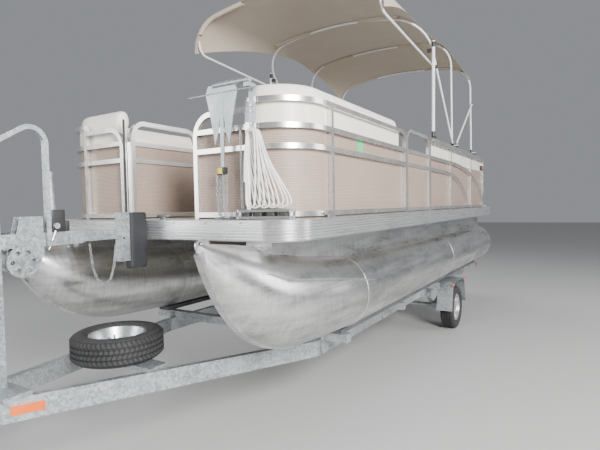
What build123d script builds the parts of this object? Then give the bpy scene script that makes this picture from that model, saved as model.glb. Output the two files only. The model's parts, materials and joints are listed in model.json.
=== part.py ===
from build123d import *
from math import atan2, cos, degrees, hypot, pi, radians, sin, sqrt
import os

os.makedirs("parts", exist_ok=True)

# Pontoon boat standing on its single-axle trailer, in millimetres.
# X points to port, the bow points to -Y and Z is up from the floor.

# Whole object
deck_length = 6750  # over the rub rail
deck_width = 2590  # over the rub rail
deck_height = 1730  # deck surface above the floor, on the trailer
bow_reach = 1760  # coupler's nose ahead of the rub rail
stern_reach = 710  # back of the motor's cowl behind the rub rail
bow = bow_reach - (bow_reach + deck_length + stern_reach) / 2
stern = bow + deck_length
gap = 1  # seat between pieces that are bolted face to face
sides = (("port", 1), ("starboard", -1))

# Deck
rub_height = 140
rub_depth = 42
rub_ribs = 7
rib_depth = 5
bow_corner = 230
stern_corner = 60
floor_thickness = 25
channel_height = 85
channel_width = 60
channel_wall = 5
channel_pitch = 406

# Pontoon tubes
tube_radius = 305
tube_offset = deck_width / 2 - 298  # from the centreline
tube_drop = 626  # centre below the deck surface
tube_end = 6600  # behind the bow edge
weld_seam = 1100  # where the nose cone meets the round tube
keel_width = 50
keel_thickness = 7
eye_hole = 22
eye_thickness = 10
riser_width = 200
riser_wall = 8
riser_start = 60
strake_out = 62
strake_plate = 5
strake_heel = 28
strake = (
    # station, drop below the deck, hull's half breadth there, reach as a share of strake_out
    (-110, 312, 176, 0.04),
    (100, 365, 219, 0.85),
    (500, 415, 250, 1),
    (weld_seam, 505, 280, 0.6),
    (1290, 535, 291, 0.04),
)

# Fence
rail = 35  # square tube
post = 32
fence_front = 150  # centreline of the bow fence behind the bow edge
fence_side = deck_width / 2 - 50  # centreline of the side fence from the boat's centreline
fence_corner = 360
rail_low = 31  # rail centres above the deck
rail_third = 475
rail_second = 610
rail_top = 782
arch_height = 728
arch_radius = 150
aisle_half = 400  # centreline of the posts beside the bow gate
shoulder = 868  # where the bow fence's top rail starts
bow_section_end = 2160
gate_top = 815
gate_foot = 12
hinge_radius = 7
aft_section_start = 3000
aft_section_end = 6200
end_radius = 120
cap_height = 80  # flat cap over the aft section's top rail
sweep_third = 3600  # where the aft section's lower rails start to fall
sweep_third_foot = 4900
sweep_second = 4000
sweep_second_foot = 6120
panel_thickness = 6
bow_post = 600
aft_posts = (3980, 5220)
hinge_gap = 6  # between a gate and the posts beside it
hinge_back = 26  # hinge pin behind the bow gate's centreline
stern_gate_inner = 440
stern_gate_outer = 1150

# Seats
cushion_gap = 3
base_height = 330
seat_thickness = 110
back_thickness = 120
back_top = 895
lounge_inner = 560  # inner edge of the bow lounges
dome_inner = 480  # inner end of the starboard backrest, which runs on across the bow
lounge_end = 2060
toe_kick = 30
back_gap = 6
back_round = 40
seat_round = 25
aft_lounge_end = 380
aft_lounge_front = 5480

# Helm
console_start = 3250
console_length = 620
console_inner = 560
console_clear = 10  # to the canopy's front mount
console_height = 900
wheel_ring = 180
wheel_rim = 14
wheel_rake = 30
column_radius = 18
column_length = 110
windscreen_height = 220
helm_x = -810
chair_station = 4480
chair_height = 430

# Motor
notch_depth = 430  # cut-out in the deck's stern that the motor tilts into
notch_half = 380
transom_gap = 500  # transom's back behind the notch's front edge
pod_start = 5500
pod_half = 330
clamp_half = 90
tilt_pin = 12
steer_pin = 20
barrel_radius = 34
pin_play = 0.05
plate_height = -900  # cavitation plate above the deck
shaft_height = -1070
shaft_radius = 14
propeller_behind = 330  # propeller's middle behind the steering axis
propeller_radius = 158
cowl_height = 560

# Bimini
mount_x = fence_side - 45
mount_half = 26
bow_tube = 25
strut_tube = 38
canvas_thickness = 8
canvas_clear = 5
canvas_overhang = 30
canvas_hem = 1880
canvas_hems = (1900, 2290, 2050)  # side hem above the deck at the front, middle and rear
hem_middle = 3900
pivot_height = 884
pivot_station = 4500
rear_station = 5700
hoop_corner = 350
crown_radius = 5000
bimini_hoops = (
    # 0 outer or 1 inner row, foot (station, height), crown (station, height), corner and crown radius
    (0, (pivot_station, pivot_height), (3100, 2365), 480, 3640),
    (1, (pivot_station + 40, pivot_height + 16), (4500, 2440), hoop_corner, crown_radius),
    (0, (rear_station, pivot_height), (5650, 2360), hoop_corner, crown_radius),
)
front_bow = (1850, 2350)  # station and crown height of the upright front bow
front_leg = ((3630, 1790), (1850, 1900))  # its legs, from the first hoop to their bend
leg_bend = 140
canvas_crowns = (
    # station, height of the tube's centreline at the crown
    (front_bow[0] - canvas_overhang, front_bow[1]),
    (3100, 2365),
    (4500, 2440),
    (5650 + canvas_overhang, 2360),
)
front_strut = ((3370, 875), (3410, 2040))
rear_strut = ((pivot_station + 30, 892), (5690, 1700))

# Trailer
tyre_radius = 305
tyre_width = 190
rim_radius = 178
track_half = 1100
axle_station = 4580
frame_drop = 1040  # top of the side rails below the deck
tongue_drop = 889  # top of the rails at the tongue's apex
frame_depth = 126
frame_wall_width = 50
frame_half = 860
tongue_apex = -1442
frame_bend = 1000
frame_end = 6350
cross_stations = (1120, 2500, 3900, 5260, 6300)
cross_size = 75
cross_half = 1110
bunk_width = 140
bunk_thickness = 38
tongue_start = -1640
axle_radius = 30
spindle_radius = 20
spindle_reach = 45
hub_gap = 150
hub_length = 90
spring_half = 330
hanger = 60
fender_gap = 95
fender_reach = 420
spare_station = -260
shelf_low = 8  # shelf plates: let into the rails by this, and standing proud by shelf_high
shelf_high = 20
mast_station = -1038
mast_size = 60
mast_top = 50
arm_outer = (-128, -48)
arm_joint = -508
stop_front = -226
stop_depth = 70
stop_heights = (-280, 60)
bumper_clear = 6
handrail_top = 640
handrail_first = -1330
handrail_last = -745
handrail_low = 270  # height of the rail's front corner
post_station = -685  # short post on the arm
post_height = 295
winch_station = -905
winch_height = -205
winch_radius = 90
winch_plates = (-900, -770)
reflector_station = -986
reflector_length = 167
reflector_height = 50
jack_x = -95
jack_station = -1530
jack_height = 900
ball_radius = 25

# Bow gear
bow_cleat = (120, 70)
side_cleats = (500, 6250)
cleat_length = 120
cleat_width = 20
step_x = deck_width / 2 - 275  # boarding ladder, folded on the deck's port corner
step_y = 105
step_turn = 18
step_length = 400
step_width = 78
step_clear = 4
step_height = 60
ladder_tube = 16
tread_pitch = 84
anchor_x = deck_width / 2 - 587
anchor_station = 72
anchor_top = 900
fluke_thickness = 6
fluke = (
    # distance from the shank, drop below the crown
    (13, 0),
    (112, 4),
    (136, 52),
    (94, 230),
    (62, 400),
    (36, 330),
    (13, 190),
)
shank_length = 550
stock_first = 415
stock_last = 996
stock_height = 860
bracket_x = (908, 948)
link_length = 30
link_width = 16
link_wire = 4
anchor_chain_runs = (
    ((700, 330), (672, 30), (700, 16), (795, 16)),
    ((862, 75), (860, 575)),
)
safety_chain_run = (
    (-450, -142), (-432, -300), (-400, -385), (-350, -425), (-300, -395), (-268, -300), (-250, -160),
)
hank_head = (962, 70)
hank_top = 600
hank_legs = (
    # bottom, middle and top sections: centre x, centre y, length, width
    ((948, 62, 76, 44), (938, 66, 62, 46), (950, 70, 48, 50)),
    ((1120, 104, 170, 60), (1035, 92, 92, 52), (970, 70, 48, 50)),
)


def strip(plane, points, radius, width, thickness):
    """Flat bar or square tube bent in one plane, centred on its path."""
    with BuildPart() as bar:
        with BuildSketch(plane):
            with BuildLine() as path:
                if len(points) > 2 and radius:
                    FilletPolyline(*points, radius=radius)
                else:
                    Polyline(*points)
            trace(path.line, line_width=width)
        extrude(amount=thickness / 2, both=True)
    return bar.part


def round_tube(points, radius, diameter):
    """Round tube along straight runs joined by tangent arcs."""
    with BuildPart() as tube:
        with BuildLine() as path:
            if len(points) > 2:
                FilletPolyline(*points, radius=radius)
            else:
                Line(*points)
        with BuildSketch(Plane(origin=path.line @ 0, z_dir=path.line % 0)):
            Circle(diameter / 2)
        sweep()
    return tube.part


def across(y, x=0):
    """Upright plane across the boat: local x to port, local y up from the deck."""
    return Plane(origin=(x, y, deck_height), x_dir=(1, 0, 0), z_dir=(0, -1, 0))


def along(x):
    """Upright plane along the boat: local x aft from the bow edge, local y up from the deck."""
    return Plane(origin=(x, bow, deck_height), x_dir=(0, 1, 0), z_dir=(1, 0, 0))


def level(height):
    """Level plane: local x to port, local y aft from the bow edge, height above the deck."""
    return Plane(origin=(0, bow, deck_height + height), x_dir=(1, 0, 0), z_dir=(0, 0, 1))


def block(x, y, z):
    """Plain box between two limits on each axis, heights above the deck, stations from the bow."""
    with BuildPart() as solid:
        with BuildSketch(level(z[0])):
            with Locations(((x[0] + x[1]) / 2, (y[0] + y[1]) / 2)):
                Rectangle(abs(x[1] - x[0]), abs(y[1] - y[0]))
        extrude(amount=z[1] - z[0])
    return solid.part


def save(solid, name):
    solid.label = name
    export_step(solid, f"parts/{name}.step")


# Pontoon tubes. Each nose section is two arcs that meet at the keel and at the top seam.
nose_sections = (
    # station, keel_drop, top_drop, half_breadth
    (-490, 165, 108, 12),
    (-400, 365, 118, 62),
    (-200, 632, 140, 168),
    (100, 828, 182, 250),
    (500, 908, 250, 294),
    (weld_seam, tube_drop + tube_radius, tube_drop - tube_radius, tube_radius),
)


def tube_body(sign, grow):
    """Nose cone and round tube, their surface moved outwards by grow."""
    with BuildPart() as body:
        for station, keel, top, breadth in nose_sections:
            middle = -(keel + top) / 2
            with BuildSketch(across(bow + station, sign * tube_offset)):
                with BuildLine():
                    ThreePointArc((0, -keel - grow), (breadth + grow, middle), (0, grow - top))
                    ThreePointArc((0, grow - top), (-breadth - grow, middle), (0, -keel - grow))
                make_face()
        loft()
        with BuildSketch(across(bow + weld_seam, sign * tube_offset)):
            with Locations((0, -tube_drop)):
                Circle(tube_radius + grow)
        extrude(amount=-(tube_end - weld_seam))
    return body.part


for side, sign in sides:
    with BuildPart() as tube:
        add(tube_body(sign, 0))
        # Flat keel strip along the stem, with the mooring eye at its top
        with BuildSketch(along(sign * tube_offset)):
            outer = [(s - keel_thickness, -k - keel_thickness) for s, k, t, b in nose_sections]
            inner = [(s + 18, -k + 18) for s, k, t, b in nose_sections]
            with BuildLine():
                Spline(*outer)
                Line(outer[-1], inner[-1])
                Spline(*inner)
                Line(inner[0], outer[0])
            make_face()
        extrude(amount=keel_width / 2, both=True)
        with BuildSketch(along(sign * tube_offset)):
            with Locations((-455, -125)):
                SlotOverall(110, 78)
        extrude(amount=eye_thickness / 2, both=True)
        with BuildSketch(along(sign * tube_offset)):
            with Locations((-476, -112)):
                Circle(eye_hole / 2)
        extrude(amount=keel_width, both=True, mode=Mode.SUBTRACT)
        # Lifting strake on the outboard side
        for station, drop, breadth, reach in strake:
            base = tube_offset + breadth
            outer = base + strake_out * reach
            with BuildSketch(across(bow + station)):
                Polygon(
                    (sign * (base - 14), -drop + 4),
                    (sign * outer, -drop),
                    (sign * outer, -drop - strake_plate),
                    (sign * (base - 14), -drop - strake_heel),
                    align=None,
                )
        loft(ruled=True)
    save(tube.part, f"tube_{side}")

# Risers: an inverted channel welded along the top of each tube
riser_top = floor_thickness + channel_height
with BuildPart() as risers:
    for side, sign in sides:
        with BuildSketch(across(bow + riser_start)):
            with Locations((sign * tube_offset, -(riser_top + 380) / 2)):
                Rectangle(riser_width, 380 - riser_top)
                Rectangle(riser_width - 2 * riser_wall, 380 - riser_top + 200, mode=Mode.SUBTRACT)
            with Locations((sign * tube_offset, -riser_top - riser_wall / 2)):
                Rectangle(riser_width, riser_wall)
        extrude(amount=-(tube_end - riser_start - 60))
        # Plate across the channel's front end
        with BuildSketch(across(bow + riser_start)):
            with Locations((sign * tube_offset, -(riser_top + 380) / 2)):
                Rectangle(riser_width, 380 - riser_top)
        extrude(amount=-riser_wall)
        add(tube_body(sign, gap), mode=Mode.SUBTRACT)
save(risers.part, "risers")

# Notch in the deck's stern that the motor tilts into
notch = block(
    (-notch_half, notch_half), (deck_length - notch_depth, deck_length + 100), (-rub_height - 10, 10)
)

# Cross channels under the deck
channel_count = int((deck_length - 2 * rub_depth) // channel_pitch)
channel_half = deck_width / 2 - rub_depth - gap
with BuildPart() as cross_channels:
    with BuildSketch(Plane.YZ.offset(-channel_half)):
        for i in range(channel_count):
            station = bow + deck_length / 2 + (i - (channel_count - 1) / 2) * channel_pitch
            with Locations((station, deck_height - floor_thickness - channel_height / 2)):
                Rectangle(channel_width, channel_height)
            with Locations(
                (station + channel_wall, deck_height - floor_thickness - channel_height / 2)
            ):
                Rectangle(channel_width, channel_height - 2 * channel_wall, mode=Mode.SUBTRACT)
    extrude(amount=2 * channel_half)
    add(notch, mode=Mode.SUBTRACT)
save(cross_channels.part, "cross_channels")

# Deck
with BuildPart() as deck:
    with BuildSketch(level(-floor_thickness)):
        with Locations((0, deck_length / 2)):
            Rectangle(deck_width - 2 * rub_depth - 2 * gap, deck_length - 2 * rub_depth - 2 * gap)
    extrude(amount=floor_thickness)
    corners = deck.edges().filter_by(Axis.Z).group_by(Axis.Y)
    fillet(corners[0], bow_corner - rub_depth - gap)
    fillet(corners[-1], stern_corner - rub_depth - gap)
    add(notch, mode=Mode.SUBTRACT)
save(deck.part, "deck")

# Rub rail: reeded extrusion bent round the deck's edge, in three pieces
rib_pitch = rub_height / rub_ribs


def rub_profile():
    """Reeded section: local x outwards, local y up, outer face at x = 0."""
    points = [(-rub_depth, 0), (-rub_depth, -rub_height), (-rib_depth, -rub_height)]
    for i in range(rub_ribs):
        foot = -rub_height + i * rib_pitch
        points += [(0, foot + 0.25 * rib_pitch), (0, foot + 0.75 * rib_pitch)]
        points += [(-rib_depth, foot + rib_pitch)]
    return points


def rub_run(points, radius):
    with BuildPart() as run:
        with BuildLine(Plane.XY.offset(deck_height)) as path:
            if radius:
                FilletPolyline(*points, radius=radius)
            else:
                Line(*points)
        start = path.line % 0
        outward = Vector(-start.Y, start.X, 0)
        with BuildSketch(Plane(origin=path.line @ 0, x_dir=outward, z_dir=start)):
            Polygon(*rub_profile(), align=None)
        sweep()
    return run.part


half = deck_width / 2
side_start = bow + bow_corner + 40
side_end = stern - stern_corner - 40
with BuildPart() as rub_rail_bow:
    add(
        rub_run(
            ((half, side_start - gap), (half, bow), (-half, bow), (-half, side_start - gap)),
            bow_corner,
        )
    )
save(rub_rail_bow.part, "rub_rail_bow")
with BuildPart() as rub_rail_sides:
    add(rub_run(((half, side_end), (half, side_start)), 0))
    add(rub_run(((-half, side_start), (-half, side_end)), 0))
save(rub_rail_sides.part, "rub_rail_sides")
with BuildPart() as rub_rail_stern:
    add(
        rub_run(
            ((-half, side_end + gap), (-half, stern), (half, stern), (half, side_end + gap)),
            stern_corner,
        )
    )
    add(notch, mode=Mode.SUBTRACT)
save(rub_rail_stern.part, "rub_rail_stern")

# Fence. Square tubes on their centrelines, with the panels behind them.
half_post = post / 2
panel_inset = rail / 2 + panel_thickness / 2 + gap
panel_side = fence_side - panel_inset
panel_front = fence_front + panel_inset
panel_corner = fence_corner - panel_inset
lower_band = (gap, rail_second)
upper_band = (rail_second + gap, rail_top)
top_line = rail_top + cap_height / 2
gate_first = bow_section_end + rail + hinge_gap
gate_last = aft_section_start - rail - hinge_gap


def upright(x, y, top):
    """Fence post from the deck to a rail."""
    return block((x - half_post, x + half_post), (y - half_post, y + half_post), (gap, top))


for side, sign in sides:
    edge = sign * fence_side
    with BuildPart() as fence_bow:
        front_run = [(sign * aisle_half, fence_front), (edge, fence_front)]
        for height in (rail_low, rail_third, rail_second):
            run = front_run + [(edge, bow_section_end)]
            add(strip(level(height), run, fence_corner, rail, rail))
        run = [(sign * shoulder, fence_front), (edge, fence_front)]
        run += [(edge, bow_section_end - end_radius)]
        add(strip(level(rail_top), run, fence_corner, rail, rail))
        run = [(bow_section_end - end_radius - 1, rail_top), (bow_section_end, rail_top)]
        run += [(bow_section_end, gap)]
        add(strip(along(edge), run, end_radius, rail, rail))
        run = [(sign * aisle_half, gap), (sign * aisle_half, arch_height)]
        run += [(sign * shoulder, arch_height)]
        add(strip(across(bow + fence_front), run, arch_radius, rail, rail))
        add(upright(sign * shoulder, fence_front, rail_top))
        add(upright(edge, bow_post, rail_top))
    save(fence_bow.part, f"fence_bow_{side}")

    with BuildPart() as panels_bow:
        front = [(sign * aisle_half, panel_front), (sign * (panel_side - panel_corner - gap), panel_front)]
        bend = [(sign * (panel_side - panel_corner), panel_front), (sign * panel_side, panel_front)]
        bend += [(sign * panel_side, panel_front + panel_corner)]
        straight = [(sign * panel_side, panel_front + panel_corner + gap)]
        straight += [(sign * panel_side, bow_section_end)]
        low, high = lower_band
        for run in (front, straight):
            add(strip(level((low + high) / 2), run, 0, panel_thickness, high - low))
        add(strip(level((low + high) / 2), bend, panel_corner - gap, panel_thickness, high - low))
        low, high = upper_band
        straight[1] = (sign * panel_side, bow_section_end - end_radius)
        add(strip(level((low + high) / 2), bend, panel_corner - gap, panel_thickness, high - low))
        add(strip(level((low + high) / 2), straight, 0, panel_thickness, high - low))
    save(panels_bow.part, f"panels_bow_{side}")

    with BuildPart() as fence_aft:
        run = [(aft_section_start, rail_low), (aft_section_end, rail_low)]
        add(strip(along(edge), run, 0, rail, rail))
        run = [(aft_section_start, gap), (aft_section_start, top_line), (aft_section_end, top_line)]
        add(strip(along(edge), run, end_radius, rail, rail))
        with BuildSketch(along(edge)):
            for start, height, foot in (
                (sweep_third, rail_third, sweep_third_foot),
                (sweep_second, rail_second, sweep_second_foot),
            ):
                with BuildLine() as swept:
                    Line((aft_section_start, height), (start, height))
                    EllipticalCenterArc(
                        (start, rail_low), foot - start, height - rail_low, start_angle=0, arc_size=90
                    )
                trace(swept.line, line_width=rail)
        extrude(amount=rail / 2, both=True)
        for station in (*aft_posts, aft_section_end):
            add(upright(edge, station, top_line))
        # Flat cap that slopes inwards over the top rail
        outer = fence_side + rail / 2 + 2
        inner = fence_side - rail / 2 - 2
        with BuildSketch(across(bow + aft_section_start + end_radius)):
            Polygon(
                (sign * outer, top_line - 50),
                (sign * (outer + 4), top_line - 50),
                (sign * (outer + 4), top_line - 8),
                (sign * (inner + 8), top_line + 26),
                (sign * inner, top_line + 18),
                (sign * outer, top_line - 16),
                align=None,
            )
        extrude(amount=-(aft_section_end - aft_section_start - end_radius))
    save(fence_aft.part, f"fence_aft_{side}")

    with BuildPart() as panels_aft:
        with BuildSketch(along(sign * panel_side)):
            with BuildLine():
                FilletPolyline(
                    (aft_section_start, gap),
                    (aft_section_start, top_line),
                    (aft_section_end - panel_inset - half_post, top_line),
                    radius=end_radius,
                )
                Polyline(
                    (aft_section_end - panel_inset - half_post, top_line),
                    (aft_section_end - panel_inset - half_post, gap),
                    (aft_section_start, gap),
                )
            make_face()
        extrude(amount=panel_thickness / 2, both=True)
    save(panels_aft.part, f"panels_aft_{side}")

    # Side gate, hinged on the after post and opening inwards
    with BuildPart() as gate_side:
        run = [(gate_first, gate_foot), (gate_first, gate_top)]
        run += [(gate_last, gate_top), (gate_last, gate_foot)]
        add(strip(along(edge), run, end_radius, rail, rail))
        for height in (gate_foot + rail / 2, rail_third, rail_second):
            add(strip(along(edge), [(gate_first, height), (gate_last, height)], 0, rail, rail))
        run = [(gate_first, rail_second / 2), (gate_last, rail_second / 2)]
        add(strip(along(edge), run, 0, rail_second - 2 * gate_foot, panel_thickness))
        hinge_side = sign * (fence_side - rail / 2 - hinge_radius)
        with BuildSketch(level(gate_foot)):
            with Locations((hinge_side, gate_last + rail / 2 - hinge_radius)):
                Circle(hinge_radius)
                Rectangle(2 * hinge_radius + 6, hinge_radius)
        extrude(amount=rail_second)
    save(gate_side.part, f"gate_{side}")

# Bow gate, standing open: it hangs on the starboard aisle post and lies along the lounge
hinge_x = -(aisle_half - rail / 2 - hinge_gap)
hinge_y = fence_front + hinge_back
gate_line = hinge_x + hinge_back
gate_near = hinge_y + rail / 2 + hinge_gap
gate_far = hinge_y - hinge_x * 2 - rail / 2
with BuildPart() as gate_bow:
    run = [(gate_near, gate_foot), (gate_near, rail_top), (gate_far, rail_top), (gate_far, gate_foot)]
    add(strip(along(gate_line), run, end_radius, rail, rail))
    for height in (gate_foot + rail / 2, rail_third, rail_second):
        add(strip(along(gate_line), [(gate_near, height), (gate_far, height)], 0, rail, rail))
    run = [(gate_near, rail_top / 2), (gate_far, rail_top / 2)]
    add(strip(along(gate_line), run, 0, rail_top - 2 * end_radius, panel_thickness))
    with BuildSketch(level(gate_foot)):
        with Locations((hinge_x, hinge_y)):
            Circle(hinge_radius - 2 * gap)
        with Locations((gate_line - rail / 2 + 2, (hinge_y + gate_near) / 2)):
            Rectangle(4, gate_near - hinge_y)
        with Locations(((hinge_x + gate_line - rail / 2) / 2 + 2, hinge_y)):
            Rectangle(gate_line - rail / 2 - hinge_x + 4, 4)
    extrude(amount=rail_second)
save(gate_bow.part, "gate_bow")

# Stern fence with its gate at the port side
with BuildPart() as fence_stern:
    for first, last in ((-fence_side, stern_gate_inner), (stern_gate_outer, fence_side)):
        first_inner = first + rail / 2 + 4 * gap if first < 0 else first
        last_inner = last - rail / 2 - 4 * gap if last > stern_gate_outer else last
        for height in (rail_low, rail_second, top_line):
            run = [(first_inner, height), (last_inner, height)]
            add(strip(across(bow + aft_section_end), run, 0, rail, rail))
        low, high = gap, top_line
        run = [(first_inner, (low + high) / 2), (last_inner, (low + high) / 2)]
        add(strip(across(bow + aft_section_end), run, 0, high - low - rail, panel_thickness))
    for x in (stern_gate_inner, stern_gate_outer):
        add(upright(x, aft_section_end, top_line))
save(fence_stern.part, "fence_stern")

with BuildPart() as gate_stern:
    first = stern_gate_inner + half_post + hinge_gap + rail / 2
    last = stern_gate_outer - half_post - hinge_gap - rail / 2
    run = [(first, gate_foot), (first, gate_top), (last, gate_top), (last, gate_foot)]
    add(strip(across(bow + aft_section_end), run, end_radius, rail, rail))
    for height in (gate_foot + rail / 2, rail_third, rail_second):
        run = [(first, height), (last, height)]
        add(strip(across(bow + aft_section_end), run, 0, rail, rail))
    run = [(first, rail_second / 2), (last, rail_second / 2)]
    add(strip(across(bow + aft_section_end), run, 0, rail_second - 2 * gate_foot, panel_thickness))
    with BuildSketch(level(gate_foot)):
        with Locations((last + rail / 2 - hinge_radius, aft_section_end - rail / 2 - hinge_radius)):
            Circle(hinge_radius)
            Rectangle(hinge_radius, 2 * hinge_radius + 6)
    extrude(amount=rail_second)
save(gate_stern.part, "gate_stern")

# Seats: moulded bases, cushions and backrests
back_inset = rail / 2 + panel_thickness + 2 * gap + back_gap + back_thickness / 2
back_side = fence_side - back_inset
back_front = fence_front + back_inset
back_corner = fence_corner - back_inset
back_inner = back_side - back_thickness / 2
back_row = aft_section_end - back_inset
with BuildPart() as seat_bases:
    for side, sign in sides:
        outer = sign * (back_side + back_thickness / 2)
        x = (sign * (lounge_inner + toe_kick), outer)
        add(block(x, (back_front - back_thickness / 2, lounge_end - toe_kick), (gap, base_height)))
    x = (-back_side - back_thickness / 2, aft_lounge_end - toe_kick)
    y = (aft_lounge_front + toe_kick, back_row + back_thickness / 2)
    add(block(x, y, (gap, base_height)))
    bow_edges = seat_bases.edges().filter_by(Axis.Z).group_by(Axis.Y)[0]
    fillet(bow_edges.filter_by(lambda e: abs(e.center().X) > 1000), back_corner + back_thickness / 2)
save(seat_bases.part, "seat_bases")

seat_low = base_height + cushion_gap
seat_high = seat_low + seat_thickness
with BuildPart() as seat_cushions:
    for side, sign in sides:
        x = (sign * lounge_inner, sign * (back_inner - cushion_gap))
        y = (back_front + back_thickness / 2 + cushion_gap, lounge_end)
        add(block(x, y, (seat_low, seat_high)))
    x = (-back_side + back_thickness / 2 + cushion_gap, aft_lounge_end)
    y = (aft_lounge_front, back_row - back_thickness / 2 - cushion_gap)
    add(block(x, y, (seat_low, seat_high)))
    bow_edges = seat_cushions.edges().filter_by(Axis.Z).group_by(Axis.Y)[0]
    outer_edges = bow_edges.filter_by(lambda e: abs(e.center().X) > lounge_inner + gap)
    fillet(outer_edges, back_corner - back_thickness / 2)
    fillet(seat_cushions.edges().group_by(Axis.Z)[-1], seat_round)
save(seat_cushions.part, "seat_cushions")

with BuildPart() as back_cushions:
    height = back_top - seat_low
    runs = [[(-back_side, back_row), (aft_lounge_end, back_row)]]
    for side, sign in sides:
        inner_end = shoulder if sign > 0 else dome_inner
        run = [(sign * inner_end, back_front), (sign * back_side, back_front)]
        runs.append(run + [(sign * back_side, lounge_end)])
    for run in runs:
        with BuildLine(level(seat_low + height / 2)) as path:
            if len(run) > 2:
                FilletPolyline(*run, radius=back_corner)
            else:
                Line(*run)
        ahead = path.line % 0
        with BuildSketch(Plane(path.line @ 0, x_dir=Vector(0, 0, 1).cross(ahead), z_dir=ahead)):
            RectangleRounded(back_thickness, height, back_round)
        sweep(path=path.line)
save(back_cushions.part, "back_cushions")

# Helm console at starboard, with its windscreen, wheel and swivelling chair
console_end = console_start + console_length
console_x = (-(mount_x - mount_half - console_clear), -console_inner)
dash = (
    # station, height
    (console_start + 30, gap),
    (console_start, console_height - 80),
    (console_start + 60, console_height),
    (console_start + 200, console_height),
    (console_end - 40, console_height - 190),
    (console_end, console_height - 260),
    (console_end - 30, gap),
)
wheel_plane = Plane(
    origin=(helm_x, bow + console_end + 25, deck_height + console_height - 130),
    x_dir=(1, 0, 0),
    z_dir=(0, cos(radians(wheel_rake)), sin(radians(wheel_rake))),
)
with BuildPart() as helm_console:
    with BuildSketch(along(console_x[0])):
        Polygon(*dash, align=None)
    extrude(amount=console_x[1] - console_x[0])
    fillet(helm_console.edges().filter_by(Axis.X).group_by(Axis.Z)[-1], 25)
    with BuildSketch(wheel_plane.offset(-column_length - 10)):
        Circle(column_radius + pin_play)
    extrude(amount=column_length + 10, mode=Mode.SUBTRACT)
save(helm_console.part, "helm_console")

with BuildPart() as windscreen:
    with BuildSketch(along((console_x[0] + console_x[1]) / 2)):
        Polygon(
            (console_start + 40, console_height + gap),
            (console_start + 46, console_height + gap),
            (console_start + 130, console_height + windscreen_height),
            (console_start + 124, console_height + windscreen_height),
            align=None,
        )
    extrude(amount=(console_x[1] - console_x[0]) / 2 - 30, both=True)
save(windscreen.part, "windscreen")

with BuildPart() as steering_wheel:
    with BuildSketch(Plane(wheel_plane.origin, x_dir=wheel_plane.x_dir, z_dir=-wheel_plane.y_dir)):
        with Locations((wheel_ring, 0)):
            Circle(wheel_rim)
    revolve(axis=Axis(wheel_plane.origin, wheel_plane.z_dir))
    with BuildSketch(wheel_plane.offset(-6)):
        Circle(38)
        with PolarLocations(wheel_ring / 2, 3, start_angle=90):
            Rectangle(wheel_ring - wheel_rim / 2, 26)
    extrude(amount=10)
    with BuildSketch(wheel_plane.offset(-column_length)):
        Circle(column_radius)
    extrude(amount=column_length)
save(steering_wheel.part, "steering_wheel")

with BuildPart() as chair_pedestal:
    with BuildSketch(level(gap)):
        with Locations((helm_x, chair_station)):
            Circle(160)
    extrude(amount=12)
    with BuildSketch(level(gap)):
        with Locations((helm_x, chair_station)):
            Circle(36)
    extrude(amount=chair_height - gap - 10)
save(chair_pedestal.part, "chair_pedestal")

with BuildPart() as helm_chair:
    with BuildSketch(level(chair_height)):
        with Locations((helm_x, chair_station)):
            RectangleRounded(440, 440, 90)
    extrude(amount=seat_thickness)
    with BuildSketch(level(chair_height + 20)):
        with Locations((helm_x, chair_station + 190)):
            RectangleRounded(420, 110, 50)
    extrude(amount=520)
    for sign in (1, -1):
        with BuildSketch(along(helm_x + sign * 205)):
            with Locations((chair_station, chair_height + seat_thickness + 110)):
                SlotOverall(300, 46)
            with Locations((chair_station + 60, chair_height + seat_thickness + 40)):
                Rectangle(60, 120)
        extrude(amount=22, both=True)
save(helm_chair.part, "helm_chair")

# Motor on its pod between the tubes: a notch in the deck lets it tilt
transom = stern - notch_depth + transom_gap
pod_top = -(rub_height + 240)
tilt_y = transom + 60
tilt_z = pod_top + 10
steer_y = transom + 150
propeller_y = steer_y + propeller_behind
cowl_start = transom + 40
with BuildPart() as motor_pod:
    with BuildSketch(along(0)):
        Polygon(
            (pod_start, -floor_thickness - channel_height - gap),
            (deck_length - notch_depth - 40, -floor_thickness - channel_height - gap),
            (deck_length - notch_depth, pod_top),
            (transom - bow, pod_top),
            (transom - bow, pod_top - 330),
            (pod_start + 300, pod_top - 330),
            (pod_start, pod_top - 120),
            align=None,
        )
    extrude(amount=pod_half, both=True)
    for sign in (1, -1):
        with BuildSketch(along(sign * clamp_half)):
            with Locations((tilt_y - bow, tilt_z)):
                Circle(32)
            Polygon(
                (transom - bow - 10, pod_top - 260),
                (transom - bow + 40, pod_top - 260),
                (tilt_y - bow + 30, tilt_z),
                (transom - bow - 10, tilt_z),
                align=None,
            )
        extrude(amount=9, both=True)
        with BuildSketch(along(sign * clamp_half)):
            with Locations((tilt_y - bow, tilt_z)):
                Circle(tilt_pin + pin_play)
        extrude(amount=20, both=True, mode=Mode.SUBTRACT)
save(motor_pod.part, "motor_pod")

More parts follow.
